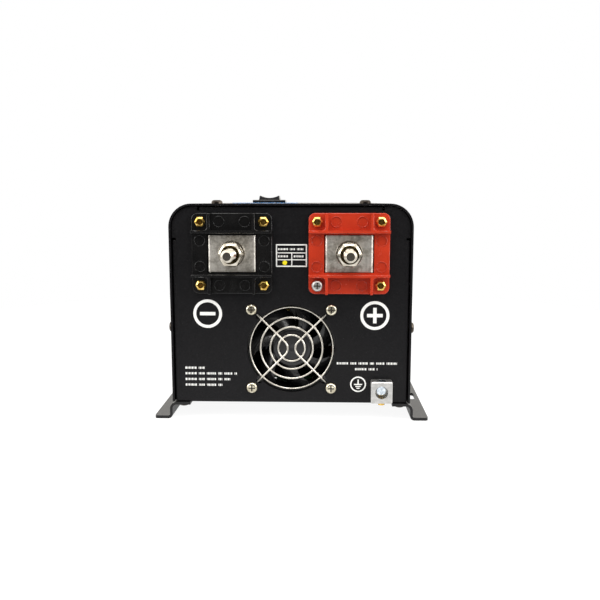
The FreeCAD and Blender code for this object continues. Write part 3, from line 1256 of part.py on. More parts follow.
def check_and_export():
    """Stop on any failed object or bad solid, then write one file a sub-part."""
    doc.recompute()
    for item in doc.Objects:
        if "Invalid" in item.State or "Error" in item.State:
            raise ValueError("%s (%s) failed" % (item.Name, item.Label))
    for name, item in nodes.items():
        shape = item.Shape
        if shape.isNull() or not shape.isValid() or not shape.Solids:
            raise ValueError("%s has no valid solid" % name)
    os.makedirs("parts", exist_ok=True)
    for name, item in nodes.items():
        item.Shape.exportStep("parts/%s.step" % name)
        print("%-26s %3d solids %12.1f mm3" % (name, len(item.Shape.Solids), item.Shape.Volume))


build()
check_and_export()
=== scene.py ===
import itertools
import json
import math

import bmesh
import bpy
from mathutils import Matrix, Vector
from mathutils.bvhtree import BVHTree


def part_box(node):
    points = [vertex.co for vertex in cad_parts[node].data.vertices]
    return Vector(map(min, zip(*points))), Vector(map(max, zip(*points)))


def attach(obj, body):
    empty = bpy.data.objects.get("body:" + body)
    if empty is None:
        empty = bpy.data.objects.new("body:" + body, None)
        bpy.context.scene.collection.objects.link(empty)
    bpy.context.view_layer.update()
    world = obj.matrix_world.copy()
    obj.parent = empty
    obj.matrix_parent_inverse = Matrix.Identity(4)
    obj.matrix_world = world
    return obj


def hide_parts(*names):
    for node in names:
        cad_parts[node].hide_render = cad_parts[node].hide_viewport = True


# A power inverter seen from its battery end. The scene is in metres. The added pieces are drawn in frames of
# millimetres, so the sizes named below are millimetres, and MM turns one into metres.
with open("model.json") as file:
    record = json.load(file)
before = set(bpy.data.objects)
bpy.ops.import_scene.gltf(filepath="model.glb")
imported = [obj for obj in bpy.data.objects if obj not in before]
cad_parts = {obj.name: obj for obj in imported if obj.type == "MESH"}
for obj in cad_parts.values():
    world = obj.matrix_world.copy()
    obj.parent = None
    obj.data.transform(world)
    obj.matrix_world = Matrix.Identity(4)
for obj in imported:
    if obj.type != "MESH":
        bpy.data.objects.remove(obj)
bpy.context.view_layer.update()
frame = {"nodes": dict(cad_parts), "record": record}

MM = 0.001
COVER_WALL = 1.5
PRINT_LOW = 0.01             # underside of a silk-screen print above its face
PRINT_HIGH = 0.06            # its upper side
TEXT_HEIGHT = 1.75           # of the battery panel's plain lines
RING_WIDTH = 0.55            # of an ejector pin's witness ring
BLOCK_FLOOR = 3              # the terminal blocks' flat areas above the panel
BLADE_COUNT = 7
BLADE_REACH = 33             # the blades' tips from the axle
BLADE_LOW, BLADE_HIGH = -16.4, -2.2      # the blades' edges measured from the hub's face
FAN_SCREW_PITCH = 62.4
LAMP_PITCH = 13
DIAL_FIGURES = 10
PORT_CONTACTS = 8
SIDES = (-1, 1)
CORNERS = [(x, y) for x in SIDES for y in SIDES]

panel_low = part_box("dc_end_panel")[0]
mains_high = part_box("ac_end_panel")[1]
cover_low, cover_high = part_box("top_cover")
overlay_low, overlay_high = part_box("control_overlay")


def middle(node):
    low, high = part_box(node)
    return (low + high) / 2


# Millimetre frames of the printed faces: the first two directions lie in the face, the third points out.
IN_MM = Matrix.Scale(MM, 4)
BATTERY_FACE = Matrix(((1, 0, 0, 0), (0, 0, -1, panel_low.y), (0, 1, 0, 0), (0, 0, 0, 1))) @ IN_MM
MAINS_FACE = Matrix(((-1, 0, 0, 0), (0, 0, 1, mains_high.y), (0, 1, 0, 0), (0, 0, 0, 1))) @ IN_MM
TOP_FACE = Matrix(((1, 0, 0, 0), (0, 1, 0, 0), (0, 0, 1, overlay_high.z), (0, 0, 0, 1))) @ IN_MM


# ---------------------------------------------------------------- camera

LENS, SENSOR = 42.2, 36
CAMERA_SIDE = 24.2           # to the right of the object's middle
CAMERA_BACK = 539.7          # in front of the cover
CAMERA_RISE = 1.4            # above the cover
CAMERA_PITCH = 82.04         # degrees up from straight down
CAMERA_TURN = 1.79           # degrees to the left


def make_camera():
    """Just above the cover's top, half a metre in front, looking a little down."""
    camera = bpy.data.objects.new("camera", bpy.data.cameras.new("camera"))
    camera.data.lens = LENS
    camera.data.sensor_width = SENSOR
    camera.location = (CAMERA_SIDE * MM, cover_low.y - CAMERA_BACK * MM, cover_high.z + CAMERA_RISE * MM)
    camera.rotation_euler = (math.radians(CAMERA_PITCH), 0, math.radians(CAMERA_TURN))
    bpy.context.scene.collection.objects.link(camera)
    bpy.context.scene.camera = camera


make_camera()


# ---------------------------------------------------------------- finishes

class Finish:
    """A node material on one Principled shader, with short ways to wire its textures."""

    def __init__(self, name, **sockets):
        self.material = bpy.data.materials.new(name)
        self.material.use_nodes = True
        self.tree = self.material.node_tree
        self.shader = self.tree.nodes["Principled BSDF"]
        self.where = self.add("ShaderNodeTexCoord").outputs["Object"]
        self.last_bump = None
        for socket, value in sockets.items():
            self.shader.inputs[socket.replace("_", " ")].default_value = value

    def add(self, kind, **settings):
        node = self.tree.nodes.new(kind)
        for key, value in settings.items():
            setattr(node, key, value)
        return node

    def feed(self, source, target):
        if hasattr(source, "links"):
            self.tree.links.new(source, target)
        else:
            target.default_value = source

    def stretched(self, scale):
        """The object coordinates, scaled along X, Y and Z."""
        node = self.add("ShaderNodeMapping")
        self.feed(self.where, node.inputs["Vector"])
        node.inputs["Scale"].default_value = scale
        return node.outputs["Vector"]

    def noise(self, scale, detail=2.0, roughness=0.5, stretch=None):
        node = self.add("ShaderNodeTexNoise")
        self.feed(self.stretched(stretch) if stretch else self.where, node.inputs["Vector"])
        node.inputs["Scale"].default_value = scale
        node.inputs["Detail"].default_value = detail
        node.inputs["Roughness"].default_value = roughness
        return node.outputs["Fac"]

    def cells(self, scale, feature="F1"):
        node = self.add("ShaderNodeTexVoronoi", feature=feature)
        self.feed(self.where, node.inputs["Vector"])
        node.inputs["Scale"].default_value = scale
        return node.outputs["Distance"]

    def spread(self, source, low, high, out_low=0.0, out_high=1.0):
        """A value mapped from low..high to out_low..out_high, held at the ends."""
        node = self.add("ShaderNodeMapRange")
        for name, value in (("Value", source), ("From Min", low), ("From Max", high),
                            ("To Min", out_low), ("To Max", out_high)):
            self.feed(value, node.inputs[name])
        return node.outputs["Result"]

    def blend(self, factor, first, second):
        """A colour between first and second."""
        node = self.add("ShaderNodeMix", data_type="RGBA")
        self.feed(factor, node.inputs[0])
        for socket, value in ((node.inputs[6], first), (node.inputs[7], second)):
            self.feed(value if hasattr(value, "links") else (*value, 1.0), socket)
        return node.outputs[2]

    def calculate(self, operation, first, second=0.0):
        node = self.add("ShaderNodeMath", operation=operation)
        self.feed(first, node.inputs[0])
        self.feed(second, node.inputs[1])
        return node.outputs[0]

    def colour(self, source):
        self.feed(source, self.shader.inputs["Base Color"])

    def rough(self, source, low, high, out_low, out_high):
        self.feed(self.spread(source, low, high, out_low, out_high), self.shader.inputs["Roughness"])

    def bump(self, height, distance, strength=1.0):
        """Adds a relief of the given depth in metres over the earlier ones."""
        node = self.add("ShaderNodeBump")
        node.inputs["Strength"].default_value = strength
        node.inputs["Distance"].default_value = distance
        self.feed(height, node.inputs["Height"])
        if self.last_bump:
            self.feed(self.last_bump, node.inputs["Normal"])
        self.last_bump = node.outputs["Normal"]
        self.feed(self.last_bump, self.shader.inputs["Normal"])


def powder_coat(name, gloss):
    """Satin black powder coat: fine orange peel, a faint speckle and a few dust specks."""
    finish = Finish(name, Specular_IOR_Level=gloss)
    grain = finish.noise(1300, 3.0, 0.65)
    cloud = finish.noise(16, 3.0)
    base = finish.blend(finish.spread(grain, 0.36, 0.66), (0.0020, 0.0020, 0.0027),
                        (0.0080, 0.0076, 0.0086))
    base = finish.blend(finish.spread(cloud, 0.35, 0.75, 0.0, 0.3), base, (0.0065, 0.0062, 0.0062))
    specks = finish.spread(finish.noise(1900, 0.0), 0.80, 0.84)
    finish.colour(finish.blend(specks, base, (0.06, 0.06, 0.06)))
    finish.rough(grain, 0.3, 0.7, 0.36, 0.52)
    finish.bump(finish.noise(1000, 2.0), 0.00004, 0.6)
    finish.bump(grain, 0.00002, 0.6)
    return finish.material


def moulded_plastic(name, dark, light, low=0.26, high=0.42):
    """Injection-moulded plastic: a slight colour flow, soft sink marks and fine handling marks."""
    finish = Finish(name)
    flow = finish.noise(60, 4.0, 0.55)
    fine = finish.noise(1100, 2.0)
    finish.colour(finish.blend(finish.spread(flow, 0.3, 0.72), dark, light))
    finish.rough(finish.noise(170, 5.0, 0.65), 0.3, 0.7, low, high)
    finish.bump(flow, 0.00012, 0.35)
    finish.bump(fine, 0.00002, 0.4)
    return finish.material


def plated_metal(name, dark, light, low, high, scratch=0.5, stain_scale=95, brush=(1, 1, 1)):
    """Plated metal: stains from handling, brush lines and a slightly uneven face."""
    finish = Finish(name, Metallic=1.0)
    stain = finish.noise(stain_scale, 7.0, 0.62)
    lines = finish.noise(260, 4.0, 0.6, stretch=brush)
    worn = finish.calculate("MULTIPLY", finish.spread(stain, 0.40, 0.60),
                            finish.spread(lines, 0.2, 0.6, 0.55, 1.0))
    finish.colour(finish.blend(worn, dark, light))
    finish.rough(stain, 0.35, 0.68, high, low)
    finish.bump(finish.noise(420, 4.0, 0.6, stretch=brush), 0.00003, scratch)
    finish.bump(stain, 0.00006, scratch)
    return finish.material


def printed_ink(name, dark, light):
    """Silk-screen ink with a slightly uneven film."""
    finish = Finish(name, Specular_IOR_Level=0.3)
    film = finish.noise(1300, 3.0, 0.6)
    finish.colour(finish.blend(finish.spread(film, 0.35, 0.65), dark, light))
    finish.rough(film, 0.3, 0.7, 0.5, 0.68)
    return finish.material


def printed_film():
    """Blue polyester overlay film with a fine grain."""
    finish = Finish("blue_overlay_finish", Specular_IOR_Level=0.12)
    grain = finish.noise(1600, 2.0)
    cloud = finish.noise(25, 2.0)
    finish.colour(finish.blend(finish.spread(cloud, 0.3, 0.7), (0.022, 0.15, 0.39),
                               (0.034, 0.19, 0.46)))
    finish.rough(grain, 0.3, 0.7, 0.62, 0.74)
    finish.bump(grain, 0.00002, 0.4)
    return finish.material


def lamp_lens():
    """Clear coloured lenses: the row runs from green through amber to red."""
    finish = Finish("lamp_lens_finish", Roughness=0.12, Transmission_Weight=0.35, IOR=1.49)
    low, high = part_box("status_lights")
    split = finish.add("ShaderNodeSeparateXYZ")
    finish.feed(finish.where, split.inputs[0])
    along = finish.spread(split.outputs["X"], low.x, high.x)
    swirl = finish.noise(500, 2.0)
    green, amber, red = (0.03, 0.42, 0.08), (0.75, 0.36, 0.02), (0.65, 0.03, 0.02)
    first = finish.blend(finish.calculate("GREATER_THAN", along, 0.33), green, amber)
    body = finish.blend(finish.calculate("GREATER_THAN", along, 0.66), first, red)
    finish.colour(finish.blend(finish.spread(swirl, 0.4, 0.8, 0.0, 0.2), body, (0.9, 0.9, 0.85)))
    return finish.material


def wound_tape():
    """Yellow polyester tape lapped round the toroid, with the winding pressing through."""
    finish = Finish("coil_tape_finish", Coat_Weight=0.3, Coat_Roughness=0.2)
    centre = middle("toroid_transformer")
    move = finish.add("ShaderNodeVectorMath", operation="SUBTRACT")
    finish.feed(finish.where, move.inputs[0])
    move.inputs[1].default_value = centre
    split = finish.add("ShaderNodeSeparateXYZ")
    finish.feed(move.outputs[0], split.inputs[0])
    lap_count, wire_count = 44, 210
    angle = finish.calculate("ARCTAN2", split.outputs["Y"], split.outputs["X"])
    laps = finish.calculate("FRACT", finish.calculate("MULTIPLY", angle, lap_count / (2 * math.pi)))
    wires = finish.calculate("SINE", finish.calculate("MULTIPLY", angle, wire_count))
    finish.colour(finish.blend(laps, (0.42, 0.27, 0.02), (0.72, 0.52, 0.08)))
    finish.rough(finish.noise(300, 3.0), 0.3, 0.7, 0.28, 0.45)
    finish.bump(laps, 0.0002, 0.6)
    finish.bump(wires, 0.0003, 0.4)
    return finish.material


def solder_mask():
    """Green solder mask over copper tracks, with tinned pads."""
    finish = Finish("circuit_board_finish", Coat_Weight=0.4, Coat_Roughness=0.15)
    tracks = finish.spread(finish.cells(160, "DISTANCE_TO_EDGE"), 0.04, 0.07)
    pads = finish.spread(finish.cells(320), 0.16, 0.2)
    green = finish.blend(tracks, (0.03, 0.20, 0.06), (0.01, 0.08, 0.025))
    finish.colour(finish.blend(pads, (0.6, 0.6, 0.58), green))
    finish.rough(finish.noise(400, 3.0), 0.3, 0.7, 0.25, 0.4)
    finish.bump(tracks, 0.00005, 0.6)
    return finish.material


def rubber():
    """Matt black rubber with a coarse, dusty grain."""
    finish = Finish("pad_rubber_finish", Specular_IOR_Level=0.3)
    grain = finish.noise(700, 4.0, 0.65)
    finish.colour(finish.blend(grain, (0.008, 0.008, 0.008), (0.03, 0.03, 0.03)))
    finish.rough(grain, 0.3, 0.7, 0.7, 0.9)
    finish.bump(grain, 0.00006, 0.6)
    return finish.material


def grime():
    """Painted shade: a dark, mottled fill that darkens the recesses of the screws where shade falls."""
    finish = Finish("recess_shade_finish", Specular_IOR_Level=0.2)
    mottle = finish.noise(900, 4.0, 0.6)
    finish.colour(finish.blend(finish.spread(mottle, 0.35, 0.65), (0.006, 0.005, 0.004), (0.05, 0.04, 0.03)))
    finish.rough(mottle, 0.3, 0.7, 0.6, 0.8)
    finish.bump(mottle, 0.00005, 0.6)
    return finish.material


# Dark and light colour, least and most roughness.
MOULDED = {
    "black_moulding": ((0.0022, 0.0022, 0.0024), (0.0055, 0.0053, 0.0055), 0.16, 0.30),
    "red_moulding": ((0.39, 0.027, 0.009), (0.50, 0.038, 0.013), 0.16, 0.30),
    "fan_blades": ((0.006, 0.006, 0.007), (0.014, 0.014, 0.015), 0.16, 0.28),
    "rocker_black": ((0.013, 0.0115, 0.0105), (0.022, 0.0195, 0.018), 0.3, 0.42),
    "ivory_moulding": ((0.54, 0.51, 0.43), (0.62, 0.59, 0.50), 0.25, 0.38),
    "red_button": ((0.50, 0.02, 0.015), (0.62, 0.04, 0.025)),
    "black_button": ((0.008, 0.008, 0.009), (0.02, 0.02, 0.021)),
    "white_button": ((0.68, 0.68, 0.66), (0.80, 0.80, 0.78)),
    "gland_nylon": ((0.010, 0.010, 0.011), (0.022, 0.022, 0.022), 0.38, 0.52),
    "transistor_epoxy": ((0.012, 0.012, 0.012), (0.03, 0.03, 0.03), 0.5, 0.65),
    "capacitor_sleeve": ((0.010, 0.014, 0.03), (0.02, 0.026, 0.05), 0.2, 0.35),
}
# The same, then the depth of the scratches, the scale of the stains and the stretch of the brush lines.
PLATED = {
    "blackened_screws": ((0.025, 0.021, 0.018), (0.10, 0.085, 0.07), 0.22, 0.38),
    "nickel_plate": ((0.33, 0.31, 0.27), (0.92, 0.88, 0.81), 0.36, 0.52, 0.6, 130, (1, 1, 0.05)),
    "polished_nickel": ((0.44, 0.40, 0.33), (0.66, 0.62, 0.54), 0.15, 0.24, 0.15, 240),
    "tinned_lug": ((0.52, 0.515, 0.50), (0.62, 0.615, 0.60), 0.34, 0.46, 0.3, 260),
    "blue_zinc": ((0.52, 0.58, 0.64), (0.80, 0.87, 0.93), 0.16, 0.28, 0.2, 300),
    "zinc_screws": ((0.42, 0.38, 0.28), (0.82, 0.77, 0.62), 0.18, 0.32, 0.5, 300),
    "guard_wire": ((0.55, 0.52, 0.46), (0.86, 0.82, 0.74), 0.22, 0.34, 0.5, 220),
    "brass": ((0.46, 0.27, 0.05), (0.92, 0.65, 0.20), 0.12, 0.22, 0.3, 350),
    # Painted shade: the dark cone laid over the stud nuts' countersinks.
    "countersink_shade": ((0.05, 0.04, 0.02), (0.26, 0.21, 0.10), 0.22, 0.34, 0.3, 400),
    "copper_strap": ((0.50, 0.20, 0.10), (0.85, 0.46, 0.30), 0.22, 0.4, 0.5, 95, (0.15, 1, 1)),
    "clamp_steel": ((0.36, 0.36, 0.34), (0.66, 0.66, 0.63), 0.26, 0.42, 0.5, 95, (0.15, 1, 1)),
    "sink_aluminium": ((0.52, 0.53, 0.54), (0.78, 0.79, 0.80), 0.3, 0.45, 0.5, 95, (1, 0.08, 1)),
}
finishes = {
    "black_powder_coat": powder_coat("black_powder_coat_finish", 0.17),
    "foot_powder_coat": powder_coat("foot_powder_coat_finish", 0.34),
    "blue_overlay": printed_film(),
    "lamp_lens": lamp_lens(),
    "coil_tape": wound_tape(),
    "pad_rubber": rubber(),
    "circuit_board": solder_mask(),
    # Painted shade for the bottoms of the screws' cross recesses.
    "recess_shade": grime(),
}
for slot, look in MOULDED.items():
    finishes[slot] = moulded_plastic(slot + "_finish", *look)
for slot, look in PLATED.items():
    finishes[slot] = plated_metal(slot + "_finish", *look)
white_ink = printed_ink("white_ink_finish", (0.70, 0.70, 0.68), (0.80, 0.80, 0.77))
yellow_ink = printed_ink("yellow_ink_finish", (0.72, 0.58, 0.005), (0.85, 0.74, 0.02))


# ---------------------------------------------------------------- CAD nodes: finish and softened edges

SHARP_FROM = math.radians(20)
EDGE_TOLERANCE = 0.3         # how near an edge lies to the level that it belongs to
BLOCK_RIM = 28.8             # a block's rim lies further than this from its middle


def softening_nodes(name, weight=None):
    """Geometry nodes that drop the imported normals, so that the bevel can shade its own.

    The weight, if there is one, says which edges the bevel rounds; the other corners stay crisp.
    """
    group = bpy.data.node_groups.new(name, "GeometryNodeTree")
    group.interface.new_socket("Geometry", in_out="INPUT", socket_type="NodeSocketGeometry")
    group.interface.new_socket("Geometry", in_out="OUTPUT", socket_type="NodeSocketGeometry")
    start = group.nodes.new("NodeGroupInput")
    clear = group.nodes.new("GeometryNodeRemoveAttribute")
    clear.inputs["Name"].default_value = "custom_normal"
    chain = [start, clear, group.nodes.new("GeometryNodeSetShadeSmooth")]
    if weight:
        store = group.nodes.new("GeometryNodeStoreNamedAttribute")
        store.domain = "EDGE"
        store.inputs["Name"].default_value = "bevel_weight_edge"
        rounded_edge, crisp_edge = weight(group)
        group.links.new(rounded_edge, store.inputs["Value"])
        crisp = group.nodes.new("GeometryNodeSetShadeSmooth")
        crisp.domain = "EDGE"
        crisp.inputs["Shade Smooth"].default_value = False
        group.links.new(crisp_edge, crisp.inputs["Selection"])
        chain += [store, crisp]
    chain.append(group.nodes.new("NodeGroupOutput"))
    for first, second in zip(chain, chain[1:]):
        group.links.new(first.outputs[0], second.inputs[0])
    return group


def moulding_edges(group):
    """Two values on the terminal blocks' edges, each 0 or 1: the edges to round, and the crisp corners.

    The ribs' front edges and the rims are rounded.
    """
    def calculate(operation, first, second=0.0):
        node = group.nodes.new("ShaderNodeMath")
        node.operation = operation
        for socket, value in zip(node.inputs, (first, second)):
            if hasattr(value, "links"):
                group.links.new(value, socket)
            else:
                socket.default_value = value
        return node.outputs[0]

    def near(value, level):
        distance = calculate("ABSOLUTE", calculate("SUBTRACT", value, level))
        return calculate("LESS_THAN", distance, EDGE_TOLERANCE * MM)

    spot = group.nodes.new("ShaderNodeSeparateXYZ")
    group.links.new(group.nodes.new("GeometryNodeInputPosition").outputs[0], spot.inputs[0])
    centre = middle("positive_contact_plate")
    across = calculate("ABSOLUTE", calculate("SUBTRACT", calculate("ABSOLUTE", spot.outputs["X"]), centre.x))
    level = calculate("ABSOLUTE", calculate("SUBTRACT", spot.outputs["Z"], centre.z))
    rim = calculate("GREATER_THAN", calculate("MAXIMUM", across, level), BLOCK_RIM * MM)
    block_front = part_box("positive_terminal_block")[0].y
    in_front = near(spot.outputs["Y"], block_front)
    on_floor = near(spot.outputs["Y"], panel_low.y - BLOCK_FLOOR * MM)
    chosen = calculate("MAXIMUM", in_front, calculate("MULTIPLY", on_floor, rim))
    bend = group.nodes.new("GeometryNodeInputMeshEdgeAngle").outputs["Unsigned Angle"]
    corner = calculate("GREATER_THAN", bend, SHARP_FROM)
    rounded_edge = calculate("MULTIPLY", chosen, corner)
    return rounded_edge, calculate("SUBTRACT", corner, rounded_edge)


plain_edges = softening_nodes("plain_normals")
block_edges = softening_nodes("moulding_edges", moulding_edges)


def soften(obj, width):
    """Weld a CAD mesh and round its sharp edges by a small width."""
    weld = obj.modifiers.new("weld", "WELD")
    weld.merge_threshold = 0.00001
    by_weight = obj.name.endswith("_terminal_block")
    plain = obj.modifiers.new("edges", "NODES")
    plain.node_group = block_edges if by_weight else plain_edges
    bevel = obj.modifiers.new("bevel", "BEVEL")
    bevel.width = width
    bevel.segments = 3
    bevel.limit_method = "WEIGHT" if by_weight else "ANGLE"
    bevel.angle_limit = SHARP_FROM
    bevel.harden_normals = True
    bevel.use_clamp_overlap = not (by_weight or obj.name.endswith("_contact_plate"))


EDGE_WIDTHS = {
    "left_foot_rail": 0.3, "right_foot_rail": 0.3,
    "negative_terminal_block": 0.5, "positive_terminal_block": 0.5,
    "negative_contact_plate": 0.3, "positive_contact_plate": 0.3,
    "stud_flat_washers": 0.2, "stud_spring_washers": 0.2, "ground_lug": 0.5,
    "power_switch_housing": 0.2, "power_switch_rocker": 0.3, "control_overlay": 0.08,
    "outlet": 0.2, "outlet_reset_button": 0.15, "outlet_test_button": 0.15,
    "remote_port": 0.2, "battery_selector_knob": 0.3, "input_breaker": 0.3, "output_breaker": 0.3,
    "front_fan_housing": 0.3, "rear_fan_housing": 0.3,
}
FINISH_BY_NODE = {
    "ground_fixing_screw": "blue_zinc", "terminal_screw": "tinned_lug",
    "left_foot_rail": "foot_powder_coat", "right_foot_rail": "foot_powder_coat",
}


def finish_cad_nodes():
    """Gives each CAD node its slot's finish, or its own, and rounds the edges that are listed."""
    slot_of = {part["node"]: part["material_slot"] for part in frame["record"]["subparts"]}
    for name, obj in frame["nodes"].items():
        obj.data.materials.clear()
        obj.data.materials.append(finishes[FINISH_BY_NODE.get(name, slot_of[name])])
        if name in EDGE_WIDTHS:
            soften(obj, EDGE_WIDTHS[name] * MM)


finish_cad_nodes()


# ---------------------------------------------------------------- shapes, in millimetres of a local frame

def facing(centre, direction):
    """A millimetre frame at a point given in metres, its third axis along a direction."""
    turn = Vector(direction).to_track_quat("Z", "Y").to_matrix().to_4x4()
    return Matrix.Translation(centre) @ turn @ IN_MM


def face_frame(node, direction):
    """A millimetre frame in the middle of a node's face toward -Y or +Y, its third axis outward."""
    low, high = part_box(node)
    centre = (low + high) / 2
    return facing((centre.x, low.y if direction < 0 else high.y, centre.z), (0, direction, 0))


def skin(bm, loops, place, capped=True):
    """Joins loops of points, each with as many points, into one closed tube."""
    rows = [[bm.verts.new(place @ Vector(point)) for point in loop] for loop in loops]
    count = len(rows[0])
    pairs = list(zip(rows, rows[1:]))
    if not capped:
        pairs.append((rows[-1], rows[0]))
    for first, second in pairs:
        for k in range(count):
            n = (k + 1) % count
            bm.faces.new((first[k], first[n], second[n], second[k]))
    if capped:
        bm.faces.new(rows[0])
        bm.faces.new(rows[-1])


def prism(bm, outline, low, high, place):
    """A flat outline made solid between two heights."""
    skin(bm, [[(u, v, level) for u, v in outline] for level in (low, high)], place)


def turned(bm, profile, place, steps=48, capped=True):
    """A profile of (radius, height) pairs spun round the third axis; uncapped it closes on itself."""
    loops = []
    for radius, height in profile:
        loops.append([(radius * math.cos(2 * math.pi * k / steps),
                       radius * math.sin(2 * math.pi * k / steps), height) for k in range(steps)])
    skin(bm, loops, place, capped)


def flat_ring(bm, u, v, radius, stroke, low, high, place, steps=64):
    """A flat ring with the given outer radius."""
    shift = place @ Matrix.Translation((u, v, 0))
    inner = radius - stroke
    turned(bm, [(inner, low), (radius, low), (radius, high), (inner, high)], shift, steps, False)


def rounded(u, v, width, height, corner=0.0, steps=4):
    """The outline of a rectangle round a point, with rounded corners."""
    if not corner:
        around = ((-1, -1), (1, -1), (1, 1), (-1, 1))
        return [(u + x * width / 2, v + y * height / 2) for x, y in around]
    outline = []
    for quarter, (x, y) in enumerate(((1, 1), (-1, 1), (-1, -1), (1, -1))):
        for k in range(steps + 1):
            angle = (quarter + k / steps) * math.pi / 2
            outline.append((u + x * (width / 2 - corner) + corner * math.cos(angle),
                            v + y * (height / 2 - corner) + corner * math.sin(angle)))
    return outline


def disc(u, v, radius, steps=32):
    """The outline of a circle round a point."""
    return [(u + radius * math.cos(2 * math.pi * k / steps),
             v + radius * math.sin(2 * math.pi * k / steps)) for k in range(steps)]


def add_piece(name, bm, finish, body, sharp=35, replaced=()):
    """Turns a mesh under construction into a piece that rides on a body."""
    bmesh.ops.recalc_face_normals(bm, faces=bm.faces)
    mesh = bpy.data.meshes.new(name)
    bm.to_mesh(mesh)
    bm.free()
    mesh.materials.append(finish)
    for polygon in mesh.polygons:
        polygon.use_smooth = True
    mesh.set_sharp_from_angle(angle=math.radians(sharp))
    piece = bpy.data.objects.new(name, mesh)
    bpy.context.scene.collection.objects.link(piece)
    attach(piece, body)
    if replaced:
        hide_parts(*replaced)
    return piece


def ink(bm, outline, place):
    """A printed shape, a thin film over a face."""
    prism(bm, outline, PRINT_LOW, PRINT_HIGH, place)


def ink_ring(bm, u, v, radius, stroke, place):
    flat_ring(bm, u, v, radius, stroke, PRINT_LOW, PRINT_HIGH, place)


WORD_LENGTHS = (7, 4, 6, 3, 5)
BAR_WIDTHS = (1.2, 0.45, 0.9, 0.6, 1.1, 0.45)      # in a line of TEXT_HEIGHT
BAR_GAP, WORD_GAP = 0.48, 1.4


def plain_line(bm, start, level, length, height, place):
    """A line of plain bars in the rhythm of words, with no letters in it."""
    size = height / TEXT_HEIGHT
    widths, words = itertools.cycle(BAR_WIDTHS), itertools.cycle(WORD_LENGTHS)
    u, left = start, next(words)
    width = next(widths) * size
    while u + width <= start + length:
        ink(bm, rounded(u + width / 2, level, width, height, 0.2 * size, 2), place)
        u += width + BAR_GAP * size
        width = next(widths) * size
        left -= 1
        if left == 0:
            left = next(words)
            u += WORD_GAP * size


def digit(bm, figure, u, v, size, place):
    """One figure of a dial, centred on a point."""
    curve = bpy.data.curves.new("figure", "FONT")
    curve.body = figure
    curve.size = size
    curve.align_x, curve.align_y = "CENTER", "CENTER"
    curve.extrude = (PRINT_HIGH - PRINT_LOW) / 2
    holder = bpy.data.objects.new("figure", curve)
    mesh = bpy.data.meshes.new_from_object(holder)
    mesh.transform(place @ Matrix.Translation((u, v, (PRINT_HIGH + PRINT_LOW) / 2)))
    start = len(bm.verts)
    bm.from_mesh(mesh)
    bm.verts.ensure_lookup_table()
    bmesh.ops.remove_doubles(bm, verts=bm.verts[start:], dist=0.000001)
    bpy.data.objects.remove(holder)
    bpy.data.meshes.remove(mesh)
    bpy.data.curves.remove(curve)


# ---------------------------------------------------------------- battery end

MINUS_AT, PLUS_AT, EARTH_AT = (-65.0, 84.6), (65.5, 83.7), (53.1, 28.8)
DOT_AT = (-4.45, 124.75)
# The two notes: where they stand across the panel, and the height and length of each line.
NOTE_LEFT, NOTE_LINES = -83.5, ((41.2, 17.1), (36.7, 41.9), (32.1, 36.5), (27.5, 30.3))
EARTH_NOTE_MIDDLE, EARTH_NOTE_LINES = 59.9, ((45.6, 47.3), (41.0, 18.6))


def battery_prints():
    """White marks: minus, plus and earth signs, the voltage table and the plain text lines."""
    bm = bmesh.new()
    sign_radius, sign_stroke, sign_bar, bar_width = 11.3, 2.3, 12.2, 2.7
    for u, v in (MINUS_AT, PLUS_AT):
        ink_ring(bm, u, v, sign_radius, sign_stroke, BATTERY_FACE)
        ink(bm, rounded(u, v, sign_bar, bar_width, 0.3), BATTERY_FACE)
    u, v = PLUS_AT
    stub = (sign_bar - bar_width) / 2
    for side in SIDES:
        ink(bm, rounded(u, v + side * (bar_width + stub) / 2, bar_width, stub), BATTERY_FACE)
    earth_sign(bm, *EARTH_AT)
    battery_table(bm)
    for level, length in NOTE_LINES:
        plain_line(bm, NOTE_LEFT, level, length, TEXT_HEIGHT, BATTERY_FACE)
    for level, length in EARTH_NOTE_LINES:
        plain_line(bm, EARTH_NOTE_MIDDLE - length / 2, level, length, TEXT_HEIGHT, BATTERY_FACE)
    add_piece("battery_panel_prints", bm, white_ink, "case")
    bm = bmesh.new()
    dot_radius = 1.75
    ink(bm, disc(*DOT_AT, dot_radius), BATTERY_FACE)
    add_piece("voltage_dot", bm, yellow_ink, "case")


def earth_sign(bm, u, v):
    """A ring round a stem and three bars that get shorter downward."""
    ring, stroke, stem_width, stem_height, stem_rise = 6.25, 1.05, 0.95, 3.5, 2.05
    bar_height, corner, drop = 0.9, 0.15, 0.15
    ink_ring(bm, u, v, ring, stroke, BATTERY_FACE)
    ink(bm, rounded(u, v + stem_rise, stem_width, stem_height), BATTERY_FACE)
    for width, level in ((6.4, 0.0), (4.2, -1.6), (2.4, -3.1)):
        ink(bm, rounded(u, v + level - drop, width, bar_height, corner, 2), BATTERY_FACE)


def battery_table(bm):
    """The voltage table: a frame, two rules and a divider, with bars for its entries."""
    left, right, low, high = -11.3, 12.7, 121.5, 139.0
    header, row, divider, stroke = 132.3, 127.0, 0.95, 0.95
    width, height = right - left, high - low
    centre = (left + right) / 2
    for level in (low, high):
        inward = stroke / 2 if level == low else -stroke / 2
        ink(bm, rounded(centre, level + inward, width, stroke, 0.3), BATTERY_FACE)
    for edge in (left + stroke / 2, right - stroke / 2):
        ink(bm, rounded(edge, (low + high) / 2, stroke, height - 2 * stroke), BATTERY_FACE)
    thin = 0.7
    for level in (header, row):
        ink(bm, rounded(centre, level, width - 2 * stroke, thin), BATTERY_FACE)
    for bottom, top in ((low + stroke, row - thin / 2), (row + thin / 2, header - thin / 2)):
        ink(bm, rounded(divider, (bottom + top) / 2, thin, top - bottom), BATTERY_FACE)
    entry, margin = 1.5, 1.7
    plain_line(bm, left + margin, (header + high - stroke) / 2, width - 2 * margin, entry, BATTERY_FACE)
    for start, end in ((left + margin, divider - 1.2), (divider + 1.5, right - margin)):
        plain_line(bm, start, (row + header) / 2, end - start, entry, BATTERY_FACE)


